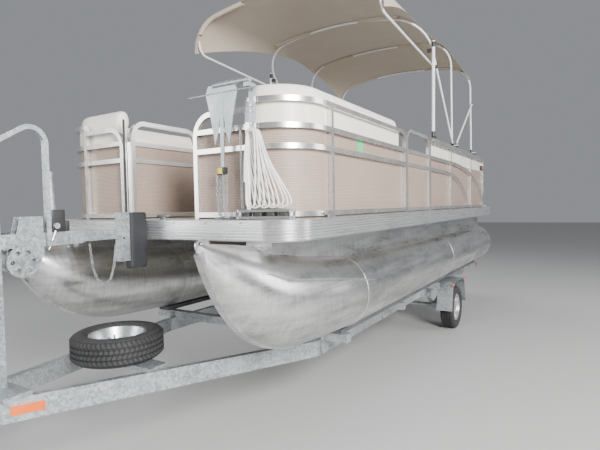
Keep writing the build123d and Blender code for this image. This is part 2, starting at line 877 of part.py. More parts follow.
with BuildPart() as swivel_bracket:
    with BuildSketch(along(0)):
        with Locations((tilt_y - bow, tilt_z)):
            Circle(34)
        Polygon(
            (tilt_y - bow - 10, tilt_z + 34),
            (steer_y - bow - 20, tilt_z + 34),
            (steer_y - bow - 20, tilt_z - 300),
            (tilt_y - bow + 20, tilt_z - 300),
            (tilt_y - bow - 10, tilt_z - 60),
            align=None,
        )
    extrude(amount=clamp_half - 15, both=True)
    with BuildSketch(level(tilt_z + 34)):
        with Locations((0, steer_y - bow)):
            Circle(barrel_radius)
    extrude(amount=-334)
    with BuildSketch(level(tilt_z + 60)):
        with Locations((0, steer_y - bow)):
            Circle(steer_pin + pin_play)
    extrude(amount=-500, mode=Mode.SUBTRACT)
    with BuildSketch(along(0)):
        with Locations((tilt_y - bow, tilt_z)):
            Circle(tilt_pin)
    extrude(amount=clamp_half + 16, both=True)
save(swivel_bracket.part, "swivel_bracket")

# Midsection, gearcase and skeg, from lens-shaped sections down the leg
leg_front = barrel_radius + 8
leg_sections = (
    # height, centre behind the steering axis, half length, half breadth
    (tilt_z + 50, leg_front + 130, 130, 80),
    (tilt_z - 320, leg_front + 120, 120, 50),
    (plate_height + 6, 110, 140, 34),
)


def lens(height, centre, length, breadth):
    """Pointed oval with its long axis fore and aft."""
    with BuildSketch(level(height)) as oval:
        with BuildLine():
            middle = steer_y - bow + centre
            ThreePointArc((0, middle - length), (breadth, middle), (0, middle + length))
            ThreePointArc((0, middle + length), (-breadth, middle), (0, middle - length))
        make_face()
    return oval.sketch


with BuildPart() as motor_leg:
    for section in leg_sections:
        add(lens(*section))
    loft(ruled=True)
    with BuildSketch(level(plate_height)):
        with Locations((0, steer_y - bow + 150)):
            RectangleRounded(240, 420, 100)
    extrude(amount=12)
    add(lens(plate_height + 4, 115, 130, 30))
    extrude(amount=shaft_height - plate_height, dir=(0, 0, 1))
    with BuildSketch(Plane.YZ) as torpedo:
        with BuildLine():
            nose = steer_y - 90
            tail = propeller_y - 62
            axle_line = deck_height + shaft_height
            Line((nose, axle_line), (tail, axle_line))
            Line((tail, axle_line), (tail, axle_line + 48))
            Line((tail, axle_line + 48), (nose + 160, axle_line + 58))
            ThreePointArc(
                (nose + 160, axle_line + 58), (nose + 60, axle_line + 44), (nose, axle_line + 12)
            )
            Line((nose, axle_line + 12), (nose, axle_line))
        make_face()
    revolve(axis=Axis((0, 0, axle_line), (0, 1, 0)))
    with BuildSketch(along(0)):
        Polygon(
            (steer_y - bow + 10, shaft_height - 40),
            (steer_y - bow + 190, shaft_height - 40),
            (steer_y - bow + 220, shaft_height - 200),
            (steer_y - bow + 120, shaft_height - 215),
            align=None,
        )
    extrude(amount=6, both=True)
    # Yokes above and below the swivel barrel, joined by the steering pin
    for height, thickness in ((tilt_z + 38, 12), (tilt_z - 334, 26)):
        with BuildSketch(level(height)):
            with Locations((0, steer_y - bow + 30)):
                RectangleRounded(70, 150, 30)
        extrude(amount=thickness)
    with BuildSketch(level(tilt_z + 45)):
        with Locations((0, steer_y - bow)):
            Circle(steer_pin)
    extrude(amount=-370)
    # Propeller shaft
    with BuildSketch(Plane(origin=(0, propeller_y - 80, axle_line), z_dir=(0, 1, 0))):
        Circle(shaft_radius)
    extrude(amount=190)
save(motor_leg.part, "motor_leg")

with BuildPart() as motor_cowl:
    cowl_low = tilt_z + 52
    cowl_end = stern + stern_reach
    for height, start, end, width in (
        (cowl_low, 0, -40, 300),
        (cowl_low + 150, -20, 0, 380),
        (cowl_low + 380, 10, -10, 360),
        (cowl_low + cowl_height, 110, -70, 240),
    ):
        length = cowl_end + end - cowl_start - start
        with BuildSketch(level(height)):
            with Locations((0, cowl_start - bow + start + length / 2)):
                RectangleRounded(width, length, width / 3)
    loft(ruled=True)
save(motor_cowl.part, "motor_cowl")

with BuildPart() as propeller:
    shaft_plane = Plane(origin=(0, propeller_y, deck_height + shaft_height), z_dir=(0, 1, 0))
    with BuildSketch(shaft_plane.offset(-55)):
        Circle(46)
    with BuildSketch(shaft_plane.offset(60)):
        Circle(40)
    loft()
    for i in range(3):
        turn = i * 120
        spoke = Plane(
            origin=shaft_plane.origin,
            x_dir=(cos(radians(turn + 90)), 0, sin(radians(turn + 90))),
            z_dir=(cos(radians(turn)), 0, sin(radians(turn))),
        )
        with BuildSketch(spoke.offset(30)):
            with Locations(Location((0, 0), 35)):
                RectangleRounded(80, 8, 3.5)
        with BuildSketch(spoke.offset(110)):
            with Locations(Location((0, 0), 25)):
                RectangleRounded(130, 7, 3)
        with BuildSketch(spoke.offset(propeller_radius)):
            with Locations(Location((0, 0), 18)):
                RectangleRounded(70, 4, 1.5)
        loft()
    with BuildSketch(shaft_plane.offset(-60)):
        Circle(shaft_radius + pin_play)
    extrude(amount=200, mode=Mode.SUBTRACT)
save(propeller.part, "propeller")

# Bimini top: hoops of round tube from side mounts, under one arched canvas
outer_half = mount_x - mount_half - gap - bow_tube / 2
hoop_halves = (outer_half, outer_half - bow_tube - gap)


def arch(plane, half_width, foot, crown, corner, radius):
    """Legs, corner arcs and a crown arc that run into each other, drawn up from the feet."""
    corner_x = half_width - corner
    corner_y = crown - radius + sqrt((radius - corner) ** 2 - corner_x**2)
    share = radius / (radius - corner)
    with BuildLine(plane) as path:
        knees = []
        for sign in (1, -1):
            middle = (corner_x + corner * cos(pi / 6), corner_y + corner * sin(pi / 6))
            knee = (corner_x * share, crown - radius + (corner_y - crown + radius) * share)
            Line((sign * half_width, foot), (sign * half_width, corner_y))
            ThreePointArc(
                (sign * half_width, corner_y),
                (sign * middle[0], middle[1]),
                (sign * knee[0], knee[1]),
            )
            knees.append((sign * knee[0], knee[1]))
        ThreePointArc(knees[0], (0, crown), knees[1])
    return path.line


with BuildPart() as bimini_frame:
    for row, foot, crown, corner, radius in bimini_hoops:
        lean = Plane(
            origin=(0, bow + foot[0], deck_height + foot[1]),
            x_dir=(1, 0, 0),
            z_dir=Vector(1, 0, 0).cross(Vector(0, crown[0] - foot[0], crown[1] - foot[1])),
        )
        reach = hypot(crown[0] - foot[0], crown[1] - foot[1])
        hoop = arch(lean, hoop_halves[row], 0, reach, corner, radius)
        with BuildSketch(Plane(origin=hoop @ 0, z_dir=lean.y_dir)):
            Circle(bow_tube / 2)
        sweep(path=hoop)
    # Front bow: an upright arch on legs that run back to the first hoop
    upright_plane = across(bow + front_bow[0])
    bend_top = front_leg[1][1] + leg_bend
    hoop = arch(upright_plane, hoop_halves[1], bend_top - 8, front_bow[1], hoop_corner, crown_radius)
    with BuildSketch(Plane(origin=hoop @ 0, z_dir=upright_plane.y_dir)):
        Circle(bow_tube / 2)
    sweep(path=hoop)
    for side, sign in sides:
        with BuildLine(along(sign * hoop_halves[1])) as leg:
            FilletPolyline(*front_leg, (front_bow[0], bend_top), radius=leg_bend * 0.9)
        with BuildSketch(Plane(origin=leg.line @ 0, z_dir=leg.line % 0)):
            Circle(bow_tube / 2)
        sweep(path=leg.line)
save(bimini_frame.part, "bimini_frame")

with BuildPart() as bimini_struts:
    for side, sign in sides:
        runs = (
            (outer_half + (bow_tube + strut_tube) / 2 + gap, front_strut, strut_tube),
            (outer_half + bow_tube + gap, rear_strut, bow_tube),
        )
        for x, (first, last), diameter in runs:
            start = (sign * x, bow + first[0], deck_height + first[1])
            end = (sign * x, bow + last[0], deck_height + last[1])
            add(round_tube((start, end), 0, diameter))
        x = (sign * (mount_x - mount_half), sign * (mount_x + mount_half))
        for station, mount_top in (
            (front_strut[0][0], front_strut[0][1] - 4),
            (pivot_station, pivot_height + 16),
            (rear_station, pivot_height + 16),
        ):
            add(block(x, (station - 20, station + 20), (top_line + 30, mount_top)))
save(bimini_struts.part, "bimini_struts")


def canvas_skin(inset, low):
    """Solid under the canopy's arched skin, its faces moved inwards by inset."""
    half_width = outer_half + bow_tube / 2 + canvas_clear + canvas_thickness - inset
    lift = bow_tube / 2 + canvas_clear + canvas_thickness - inset
    with BuildPart() as skin:
        for station, crown in canvas_crowns:
            plane = across(bow + station)
            outline = arch(
                plane, half_width, low, crown + lift, hoop_corner + lift, crown_radius + lift
            )
            with BuildSketch(plane):
                with BuildLine():
                    add(plane.to_local_coords(outline))
                    Line((half_width, low), (-half_width, low))
                make_face()
        loft(ruled=True)
    return skin.part


canvas_start = canvas_crowns[0][0]
canvas_end = canvas_crowns[-1][0]
with BuildPart() as bimini_canvas:
    add(canvas_skin(0, canvas_hem))
    add(canvas_skin(canvas_thickness, canvas_hem - 20), mode=Mode.SUBTRACT)
    # Side hems that rise towards the middle
    with BuildSketch(along(0)):
        with BuildLine():
            ThreePointArc(
                (canvas_start - gap, canvas_hems[0]),
                (hem_middle, canvas_hems[1]),
                (canvas_end + gap, canvas_hems[2]),
            )
            Polyline(
                (canvas_end + gap, canvas_hems[2]),
                (canvas_end + gap, canvas_hem - 40),
                (canvas_start - gap, canvas_hem - 40),
                (canvas_start - gap, canvas_hems[0]),
            )
        make_face()
    extrude(amount=deck_width, both=True, mode=Mode.SUBTRACT)
save(bimini_canvas.part, "bimini_canvas")

# Trailer frame: side rails that rise to the tongue, and cross members
rise = (frame_drop - tongue_drop) / (frame_bend - tongue_apex)
rise_length = hypot(frame_bend - tongue_apex, frame_drop - tongue_drop)
sloping = Plane(
    origin=(0, bow + frame_bend, deck_height - frame_drop - frame_depth / 2),
    x_dir=(1, 0, 0),
    z_dir=(0, rise, 1),
)


def rail_top_at(station):
    """Height of the sloping rails' top at a station ahead of their bend."""
    return -frame_drop + rise * (frame_bend - station)


cross_top = -(tube_drop + tube_radius + keel_thickness + bunk_thickness + 2 * gap)
with BuildPart() as trailer_frame:
    for side, sign in sides:
        run = [(sign * frame_wall_width / 2, -rise_length), (sign * (frame_half + 3), 8)]
        add(strip(sloping, run, 0, frame_wall_width, frame_depth))
        x = (sign * (frame_half - frame_wall_width / 2), sign * (frame_half + frame_wall_width / 2))
        add(block(x, (frame_bend - 12, frame_end), (-frame_drop - frame_depth, -frame_drop)))
    y = (tongue_start, tongue_apex + 260)
    add(block((-38, 38), y, (-tongue_drop - frame_depth + 25, -tongue_drop - 25)))
    for station in cross_stations:
        y = (station - cross_size / 2, station + cross_size / 2)
        add(block((-cross_half, cross_half), y, (cross_top - cross_size, cross_top)))
    for station, half_plate in ((handrail_first, 70), (mast_station, 200), (spare_station, 400)):
        z = (rail_top_at(station) - shelf_low, rail_top_at(station) + shelf_high)
        add(block((-half_plate, half_plate), (station - 75, station + 75), z))
save(trailer_frame.part, "trailer_frame")

with BuildPart() as bunks:
    for side, sign in sides:
        x = (sign * (tube_offset - bunk_width / 2), sign * (tube_offset + bunk_width / 2))
        z = (cross_top + gap, cross_top + gap + bunk_thickness)
        add(block(x, (cross_stations[0] - 60, frame_end + 40), z))
save(bunks.part, "bunks")

# Axle with its springs and hangers
hub_height = tyre_radius - deck_height
spring_x = frame_half
with BuildPart() as axle:
    with BuildSketch(along(0)):
        with Locations((axle_station, hub_height)):
            Circle(axle_radius)
    extrude(amount=track_half - hub_gap, both=True)
    with BuildSketch(along(0)):
        with Locations((axle_station, hub_height)):
            Circle(spindle_radius)
    extrude(amount=track_half + spindle_reach, both=True)
    for side, sign in sides:
        with BuildSketch(along(sign * spring_x)):
            with BuildLine() as leaf:
                ThreePointArc(
                    (axle_station - spring_half, -frame_drop - frame_depth - hanger),
                    (axle_station, hub_height + axle_radius + 10),
                    (axle_station + spring_half, -frame_drop - frame_depth - hanger),
                )
            trace(leaf.line, line_width=22)
        extrude(amount=25, both=True)
        for end in (-1, 1):
            x = (sign * spring_x - 30, sign * spring_x + 30)
            y = (axle_station + end * spring_half - 25, axle_station + end * spring_half + 25)
            add(block(x, y, (-frame_drop - frame_depth - hanger - 15, -frame_drop - frame_depth - gap)))
        y = (axle_station - 45, axle_station + 45)
        x = (sign * spring_x - 35, sign * spring_x + 35)
        add(block(x, y, (hub_height - axle_radius - 8, hub_height + axle_radius + 25)))
save(axle.part, "axle")


def tyre(plane):
    """Tyre revolved about the plane's normal, with grooves round the tread."""
    with BuildPart() as ring:
        half_width = tyre_width / 2
        section = Plane(origin=plane.origin, x_dir=plane.x_dir, z_dir=plane.y_dir)
        with BuildSketch(section):
            with BuildLine():
                Polyline(
                    (rim_radius + 16, 0.7 * half_width),
                    (rim_radius + gap, 0.7 * half_width),
                    (rim_radius + gap, -0.7 * half_width),
                    (rim_radius + 16, -0.7 * half_width),
                )
                ThreePointArc(
                    (rim_radius + 16, -0.7 * half_width),
                    (rim_radius + 0.5 * (tyre_radius - rim_radius), -half_width),
                    (tyre_radius - 12, -0.8 * half_width),
                )
                Line((tyre_radius - 12, -0.8 * half_width), (tyre_radius, -0.66 * half_width))
                Line((tyre_radius, -0.66 * half_width), (tyre_radius, 0.66 * half_width))
                Line((tyre_radius, 0.66 * half_width), (tyre_radius - 12, 0.8 * half_width))
                ThreePointArc(
                    (tyre_radius - 12, 0.8 * half_width),
                    (rim_radius + 0.5 * (tyre_radius - rim_radius), half_width),
                    (rim_radius + 16, 0.7 * half_width),
                )
            make_face()
            for groove in (-0.36, 0, 0.36):
                with Locations((tyre_radius, groove * half_width)):
                    Rectangle(14, 7, mode=Mode.SUBTRACT)
        revolve(axis=Axis(plane.origin, plane.z_dir))
    return ring.part


def wheel_rim_part(plane, bore):
    """Steel wheel: barrel, dished centre with vents and stud holes, about the plane's normal."""
    with BuildPart() as rim:
        half_width = tyre_width / 2
        section = Plane(origin=plane.origin, x_dir=plane.x_dir, z_dir=plane.y_dir)
        with BuildSketch(section):
            Polygon(
                (rim_radius, -0.72 * half_width),
                (rim_radius + 12, -0.72 * half_width),
                (rim_radius + 12, -0.78 * half_width),
                (rim_radius - 6, -0.78 * half_width),
                (rim_radius - 26, 0),
                (rim_radius - 6, 0.78 * half_width),
                (rim_radius + 12, 0.78 * half_width),
                (rim_radius + 12, 0.72 * half_width),
                (rim_radius, 0.72 * half_width),
                (rim_radius - 18, 0),
                align=None,
            )
            Polygon(
                (0, 22), (70, 22), (100, 34), (rim_radius - 14, 14),
                (rim_radius - 14, 6), (100, 26), (70, 14), (0, 14),
                align=None,
            )
        revolve(axis=Axis(plane.origin, plane.z_dir))
        with BuildSketch(plane):
            with PolarLocations(118, 8):
                SlotOverall(30, 16)
            if bore:
                Circle(bore)
        extrude(amount=60, both=True, mode=Mode.SUBTRACT)
    return rim.part


for side, sign in sides:
    wheel_axis = Plane(
        origin=(sign * track_half, bow + axle_station, tyre_radius), x_dir=(0, 1, 0), z_dir=(sign, 0, 0)
    )
    with BuildPart() as tyre_part:
        add(tyre(wheel_axis))
    save(tyre_part.part, f"tyre_{side}")
    with BuildPart() as hub_part:
        add(wheel_rim_part(wheel_axis, 0))
        with BuildSketch(wheel_axis.offset(-hub_length)):
            Circle(48)
        extrude(amount=hub_length + 60)
        with BuildSketch(wheel_axis.offset(-hub_length)):
            Circle(spindle_radius + pin_play)
        extrude(amount=hub_length + spindle_reach + 2, mode=Mode.SUBTRACT)
    save(hub_part.part, f"wheel_{side}")

spare_height = rail_top_at(spare_station) + shelf_high + gap + tyre_width / 2
spare_axis = Plane(
    origin=(0, bow + spare_station, deck_height + spare_height), x_dir=(0, 1, 0), z_dir=(0, 0, 1)
)
with BuildPart() as spare_wheel:
    add(tyre(spare_axis))
    add(wheel_rim_part(spare_axis, 30))
save(spare_wheel.part, "spare_wheel")

with BuildPart() as fenders:
    for side, sign in sides:
        with BuildSketch(along(sign * (track_half + 5))):
            with BuildLine() as arch:
                FilletPolyline(
                    (axle_station - fender_reach, hub_height + 20),
                    (axle_station - fender_reach + 90, hub_height + tyre_radius + fender_gap),
                    (axle_station + fender_reach - 90, hub_height + tyre_radius + fender_gap),
                    (axle_station + fender_reach, hub_height + 20),
                    radius=140,
                )
            trace(arch.line, line_width=6)
        extrude(amount=tyre_width / 2 + 12, both=True)
        x = (sign * (frame_half + frame_wall_width / 2 + gap), sign * (track_half - tyre_width / 2 - 2))
        y = (axle_station - 200, axle_station + 200)
        top = hub_height + tyre_radius + fender_gap + 3
        add(block(x, y, (top - 8, top)))
save(fenders.part, "fenders")

# Winch mast with its arm, handrail and bow stop
with BuildPart() as winch_mast:
    mast_foot = rail_top_at(mast_station) + shelf_high + gap
    y = (mast_station - mast_size / 2, mast_station + mast_size / 2)
    add(block((-mast_size / 2, mast_size / 2), y, (mast_foot, mast_top)))
    add(block((-25, 25), (mast_station + mast_size / 2, arm_joint), arm_outer))
    add(block((-18, 18), (arm_joint, stop_front), (arm_outer[0] + 8, arm_outer[1] - 8)))
    channel = (stop_front, stop_front + stop_depth)
    add(block((-32, 32), channel, stop_heights))
    # Handrail from the arm over the mast and down to the tongue
    rail_foot = rail_top_at(handrail_first) + shelf_high + gap
    run = [(handrail_last, arm_outer[1]), (handrail_last, handrail_top)]
    run += [(handrail_first, handrail_low), (handrail_first, rail_foot)]
    add(strip(along(40), run, 90, 28, 28))
    add(block((-25, 54), (handrail_last - 14, handrail_last + 14), arm_outer))
    add(block((-25, 54), (handrail_first - 30, handrail_first + 30), (rail_foot, rail_foot + 10)))
    post_foot = (0, bow + post_station, deck_height + arm_outer[1])
    add(round_tube((post_foot, (0, bow + post_station - 20, deck_height + post_height)), 0, 40))
save(winch_mast.part, "winch_mast")

with BuildPart() as bow_bumper:
    with BuildSketch(level(stop_heights[0] - 60)):
        with Locations((0, (stop_front + stop_depth - bumper_clear) / 2 + 0.5)):
            RectangleRounded(90, -(stop_front + stop_depth + gap) - bumper_clear, 20)
    extrude(amount=stop_heights[1] - stop_heights[0] + 100)
save(bow_bumper.part, "bow_bumper")

with BuildPart() as winch:
    winch_plane = Plane(
        origin=(0, bow + winch_station, deck_height + winch_height), x_dir=(0, 1, 0), z_dir=(1, 0, 0)
    )
    with BuildSketch(winch_plane.offset(-70)):
        Circle(32)
    extrude(amount=125)
    with BuildSketch(winch_plane.offset(50)):
        Circle(winch_radius)
        with PolarLocations(58, 6):
            Circle(13, mode=Mode.SUBTRACT)
    extrude(amount=8)
    with BuildSketch(winch_plane.offset(-70)):
        Circle(70)
    extrude(amount=8)
    for x in ((-33, -26), (26, 33)):
        with BuildSketch(along(x[0])):
            Polygon(
                (winch_station - 45, winch_height - 45),
                (winch_plates[1] - 30, winch_height - 45),
                (winch_plates[1], winch_height + 40),
                (winch_plates[1], stop_heights[1] - 10),
                (winch_plates[0], stop_heights[1] - 10),
                (winch_station - 45, winch_height + 45),
                align=None,
            )
        extrude(amount=x[1] - x[0])
save(winch.part, "winch")

# Reflectors on the outer faces of the tongue rails
with BuildPart() as reflectors:
    for side, sign in sides:
        first = Vector(sign * frame_wall_width / 2, -rise_length)
        run = Vector(sign * (frame_half + 3), 8) - first
        centre = first + run * ((reflector_station - tongue_apex) / (frame_bend - tongue_apex))
        origin = sloping.from_local_coords(centre)
        ahead = sloping.from_local_coords(centre + run) - origin
        with BuildSketch(Plane(origin=origin, x_dir=ahead, z_dir=sloping.z_dir)):
            with Locations((0, -sign * (frame_wall_width / 2 + gap + 4))):
                Rectangle(reflector_length, 8)
        extrude(amount=reflector_height / 2, both=True)
save(reflectors.part, "reflectors")

# Jack at the tongue, standing on its foot
with BuildPart() as jack:
    with BuildSketch(Plane.XY.offset(0)):
        with Locations((jack_x, bow + jack_station)):
            RectangleRounded(180, 180, 20)
    extrude(amount=10)
    with BuildSketch(Plane.XY.offset(10)):
        with Locations((jack_x, bow + jack_station)):
            Circle(24)
    extrude(amount=jack_height - 10)
    with BuildSketch(Plane.XY.offset(250)):
        with Locations((jack_x, bow + jack_station)):
            Circle(30)
    extrude(amount=jack_height - 250)
    with BuildSketch(Plane.XY.offset(jack_height)):
        with Locations((jack_x, bow + jack_station)):
            Circle(38)
    extrude(amount=30)
    z = (-tongue_drop - 95, -tongue_drop - 35)
    add(block((jack_x, -38 - gap), (jack_station - 35, jack_station + 35), z))
save(jack.part, "jack")

with BuildPart() as coupler:
    with BuildSketch(along(0)):
        Polygon(
            (-bow_reach, -tongue_drop - 95),
            (-bow_reach, -tongue_drop - 60),
            (-bow_reach + 70, -tongue_drop - 20),
            (tongue_start + 60, -tongue_drop - 20),
            (tongue_start + 60, -tongue_drop - 24),
            (tongue_start - gap, -tongue_drop - 25),
            (tongue_start - gap, -tongue_drop - 95),
            align=None,
        )
    extrude(amount=42, both=True)
    with BuildSketch(level(-tongue_drop - 95)):
        with Locations((0, -bow_reach + 50)):
            Circle(ball_radius + 1)
    extrude(amount=45, mode=Mode.SUBTRACT)
save(coupler.part, "coupler")

with BuildPart() as trailer_lights:
    for side, sign in sides:
        x = (sign * (cross_half - 160), sign * cross_half)
        y = (frame_end + gap + 15, frame_end + 55)
        add(block(x, y, (cross_top - cross_size, cross_top)))
save(trailer_lights.part, "trailer_lights")

# Deck gear at the bow
with BuildPart() as cleats:
    places = [(bow_cleat[0], bow_cleat[1], 0)]
    for side, sign in sides:
        places += [(sign * (deck_width / 2 - 17), station, 90) for station in side_cleats]
    for x, y, turn in places:
        with BuildSketch(level(gap)):
            with Locations(Location((x, y), turn)):
                RectangleRounded(0.4 * cleat_length, cleat_width, 6)
        extrude(amount=20)
        with BuildSketch(level(gap + 20)):
            with Locations(Location((x, y), turn)):
                SlotOverall(cleat_length, cleat_width)
        extrude(amount=14)
save(cleats.part, "cleats")

ladder = Plane(
    origin=(step_x, bow + step_y, deck_height + step_clear),
    x_dir=(cos(radians(step_turn)), sin(radians(step_turn)), 0),
    z_dir=(0, 0, 1),
)
with BuildPart() as boarding_step:
    for height in (0, step_height - ladder_tube):
        with BuildSketch(ladder.offset(height)):
            SlotOverall(step_length, step_width)
            SlotOverall(
                step_length - 2 * ladder_tube, step_width - 2 * ladder_tube, mode=Mode.SUBTRACT
            )
        extrude(amount=ladder_tube)
    with BuildSketch(ladder):
        for end in (-1, 1):
            with Locations((end * (step_length - ladder_tube) / 2, 0)):
                Rectangle(ladder_tube, ladder_tube)
    extrude(amount=step_height)
save(boarding_step.part, "boarding_step")

with BuildPart() as ladder_treads:
    with BuildSketch(ladder.offset(ladder_tube + gap)):
        with GridLocations(tread_pitch, 0, 4, 1):
            RectangleRounded(tread_pitch * 0.66, step_width - 8, 12)
    extrude(amount=step_height - 2 * ladder_tube - 2 * gap)
save(ladder_treads.part, "ladder_treads")


def chain(plane, points):
    """Links along straight runs of one plane, each turned a quarter from the last."""
    pitch = link_length - 2 * link_wire - gap
    with BuildPart() as links:
        count = 0
        for first, last in zip(points, points[1:]):
            run = Vector(last[0] - first[0], last[1] - first[1])
            steps = int(run.length // pitch)
            for i in range(steps):
                centre = Vector(*first) + run * ((i + 0.5) / steps)
                origin = plane.from_local_coords(centre)
                ahead = plane.from_local_coords(centre + run) - origin
                flat = plane.z_dir if count % 2 else plane.z_dir.cross(ahead.normalized())
                with BuildSketch(Plane(origin=origin, x_dir=ahead, z_dir=flat)) as link:
                    Rectangle(link_length, link_width)
                    chamfer(link.vertices(), 0.3 * link_width)
                    Rectangle(link_length - 2 * link_wire, link_width - 2 * link_wire, mode=Mode.SUBTRACT)
                extrude(amount=link_wire / 2, both=True)
                count += 1
    return links.part


with BuildPart() as chains:
    for run in anchor_chain_runs:
        add(chain(across(bow + anchor_station), run))
    add(chain(along(0), safety_chain_run))
save(chains.part, "chains")

# Anchor hung by its crown on a bracket at the fence's shoulder post
with BuildPart() as anchor:
    with BuildSketch(across(bow + anchor_station, anchor_x)):
        for sign in (1, -1):
            Polygon(*[(sign * x, anchor_top - drop) for x, drop in fluke], align=None)
    extrude(amount=fluke_thickness / 2, both=True)
    with BuildSketch(across(bow + anchor_station, anchor_x)):
        Polygon(
            (-20, anchor_top),
            (20, anchor_top),
            (12, anchor_top - shank_length),
            (-12, anchor_top - shank_length),
            align=None,
        )
    extrude(amount=5, both=True)
    with BuildSketch(along(anchor_x - 66)):
        with Locations((anchor_station, anchor_top - 6)):
            Circle(17)
    extrude(amount=bracket_x[1] - anchor_x + 66)
    with BuildSketch(along(stock_first)):
        with Locations((anchor_station, stock_height - 18)):
            Circle(6)
    extrude(amount=stock_last - stock_first)
save(anchor.part, "anchor")

bracket_back = fence_front - rail / 2 - gap
with BuildPart() as anchor_bracket:
    add(block(bracket_x, (bracket_back - 26, bracket_back - 4), (560, anchor_top - 6 - 18 - 2 * gap)))
    add(block((bracket_x[0] - 50, bracket_x[1]), (bracket_back - 4, bracket_back), (640, 770)))
    add(block(bracket_x, (anchor_station - 17, bracket_back - 4), (850, anchor_top - 6 - 17 - gap)))
    for height in (590, 620):
        with BuildSketch(across(bow + bracket_back - 26)):
            with Locations(((bracket_x[0] + bracket_x[1]) / 2, height)):
                RegularPolygon(9, 6)
        extrude(amount=6)
save(anchor_bracket.part, "anchor_bracket")

with BuildPart() as rope_hank:
    for leg in hank_legs:
        for height, (x, y, length, width) in zip((66, 300, hank_top - 90), leg):
            with BuildSketch(level(height)):
                with Locations((x, y)):
                    RectangleRounded(length, width, width * 0.45)
        loft()
    with BuildSketch(level(hank_top - 95)):
        with Locations(hank_head):
            RectangleRounded(66, 52, 20)
    extrude(amount=95)
save(rope_hank.part, "rope_hank")
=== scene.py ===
import json
import math

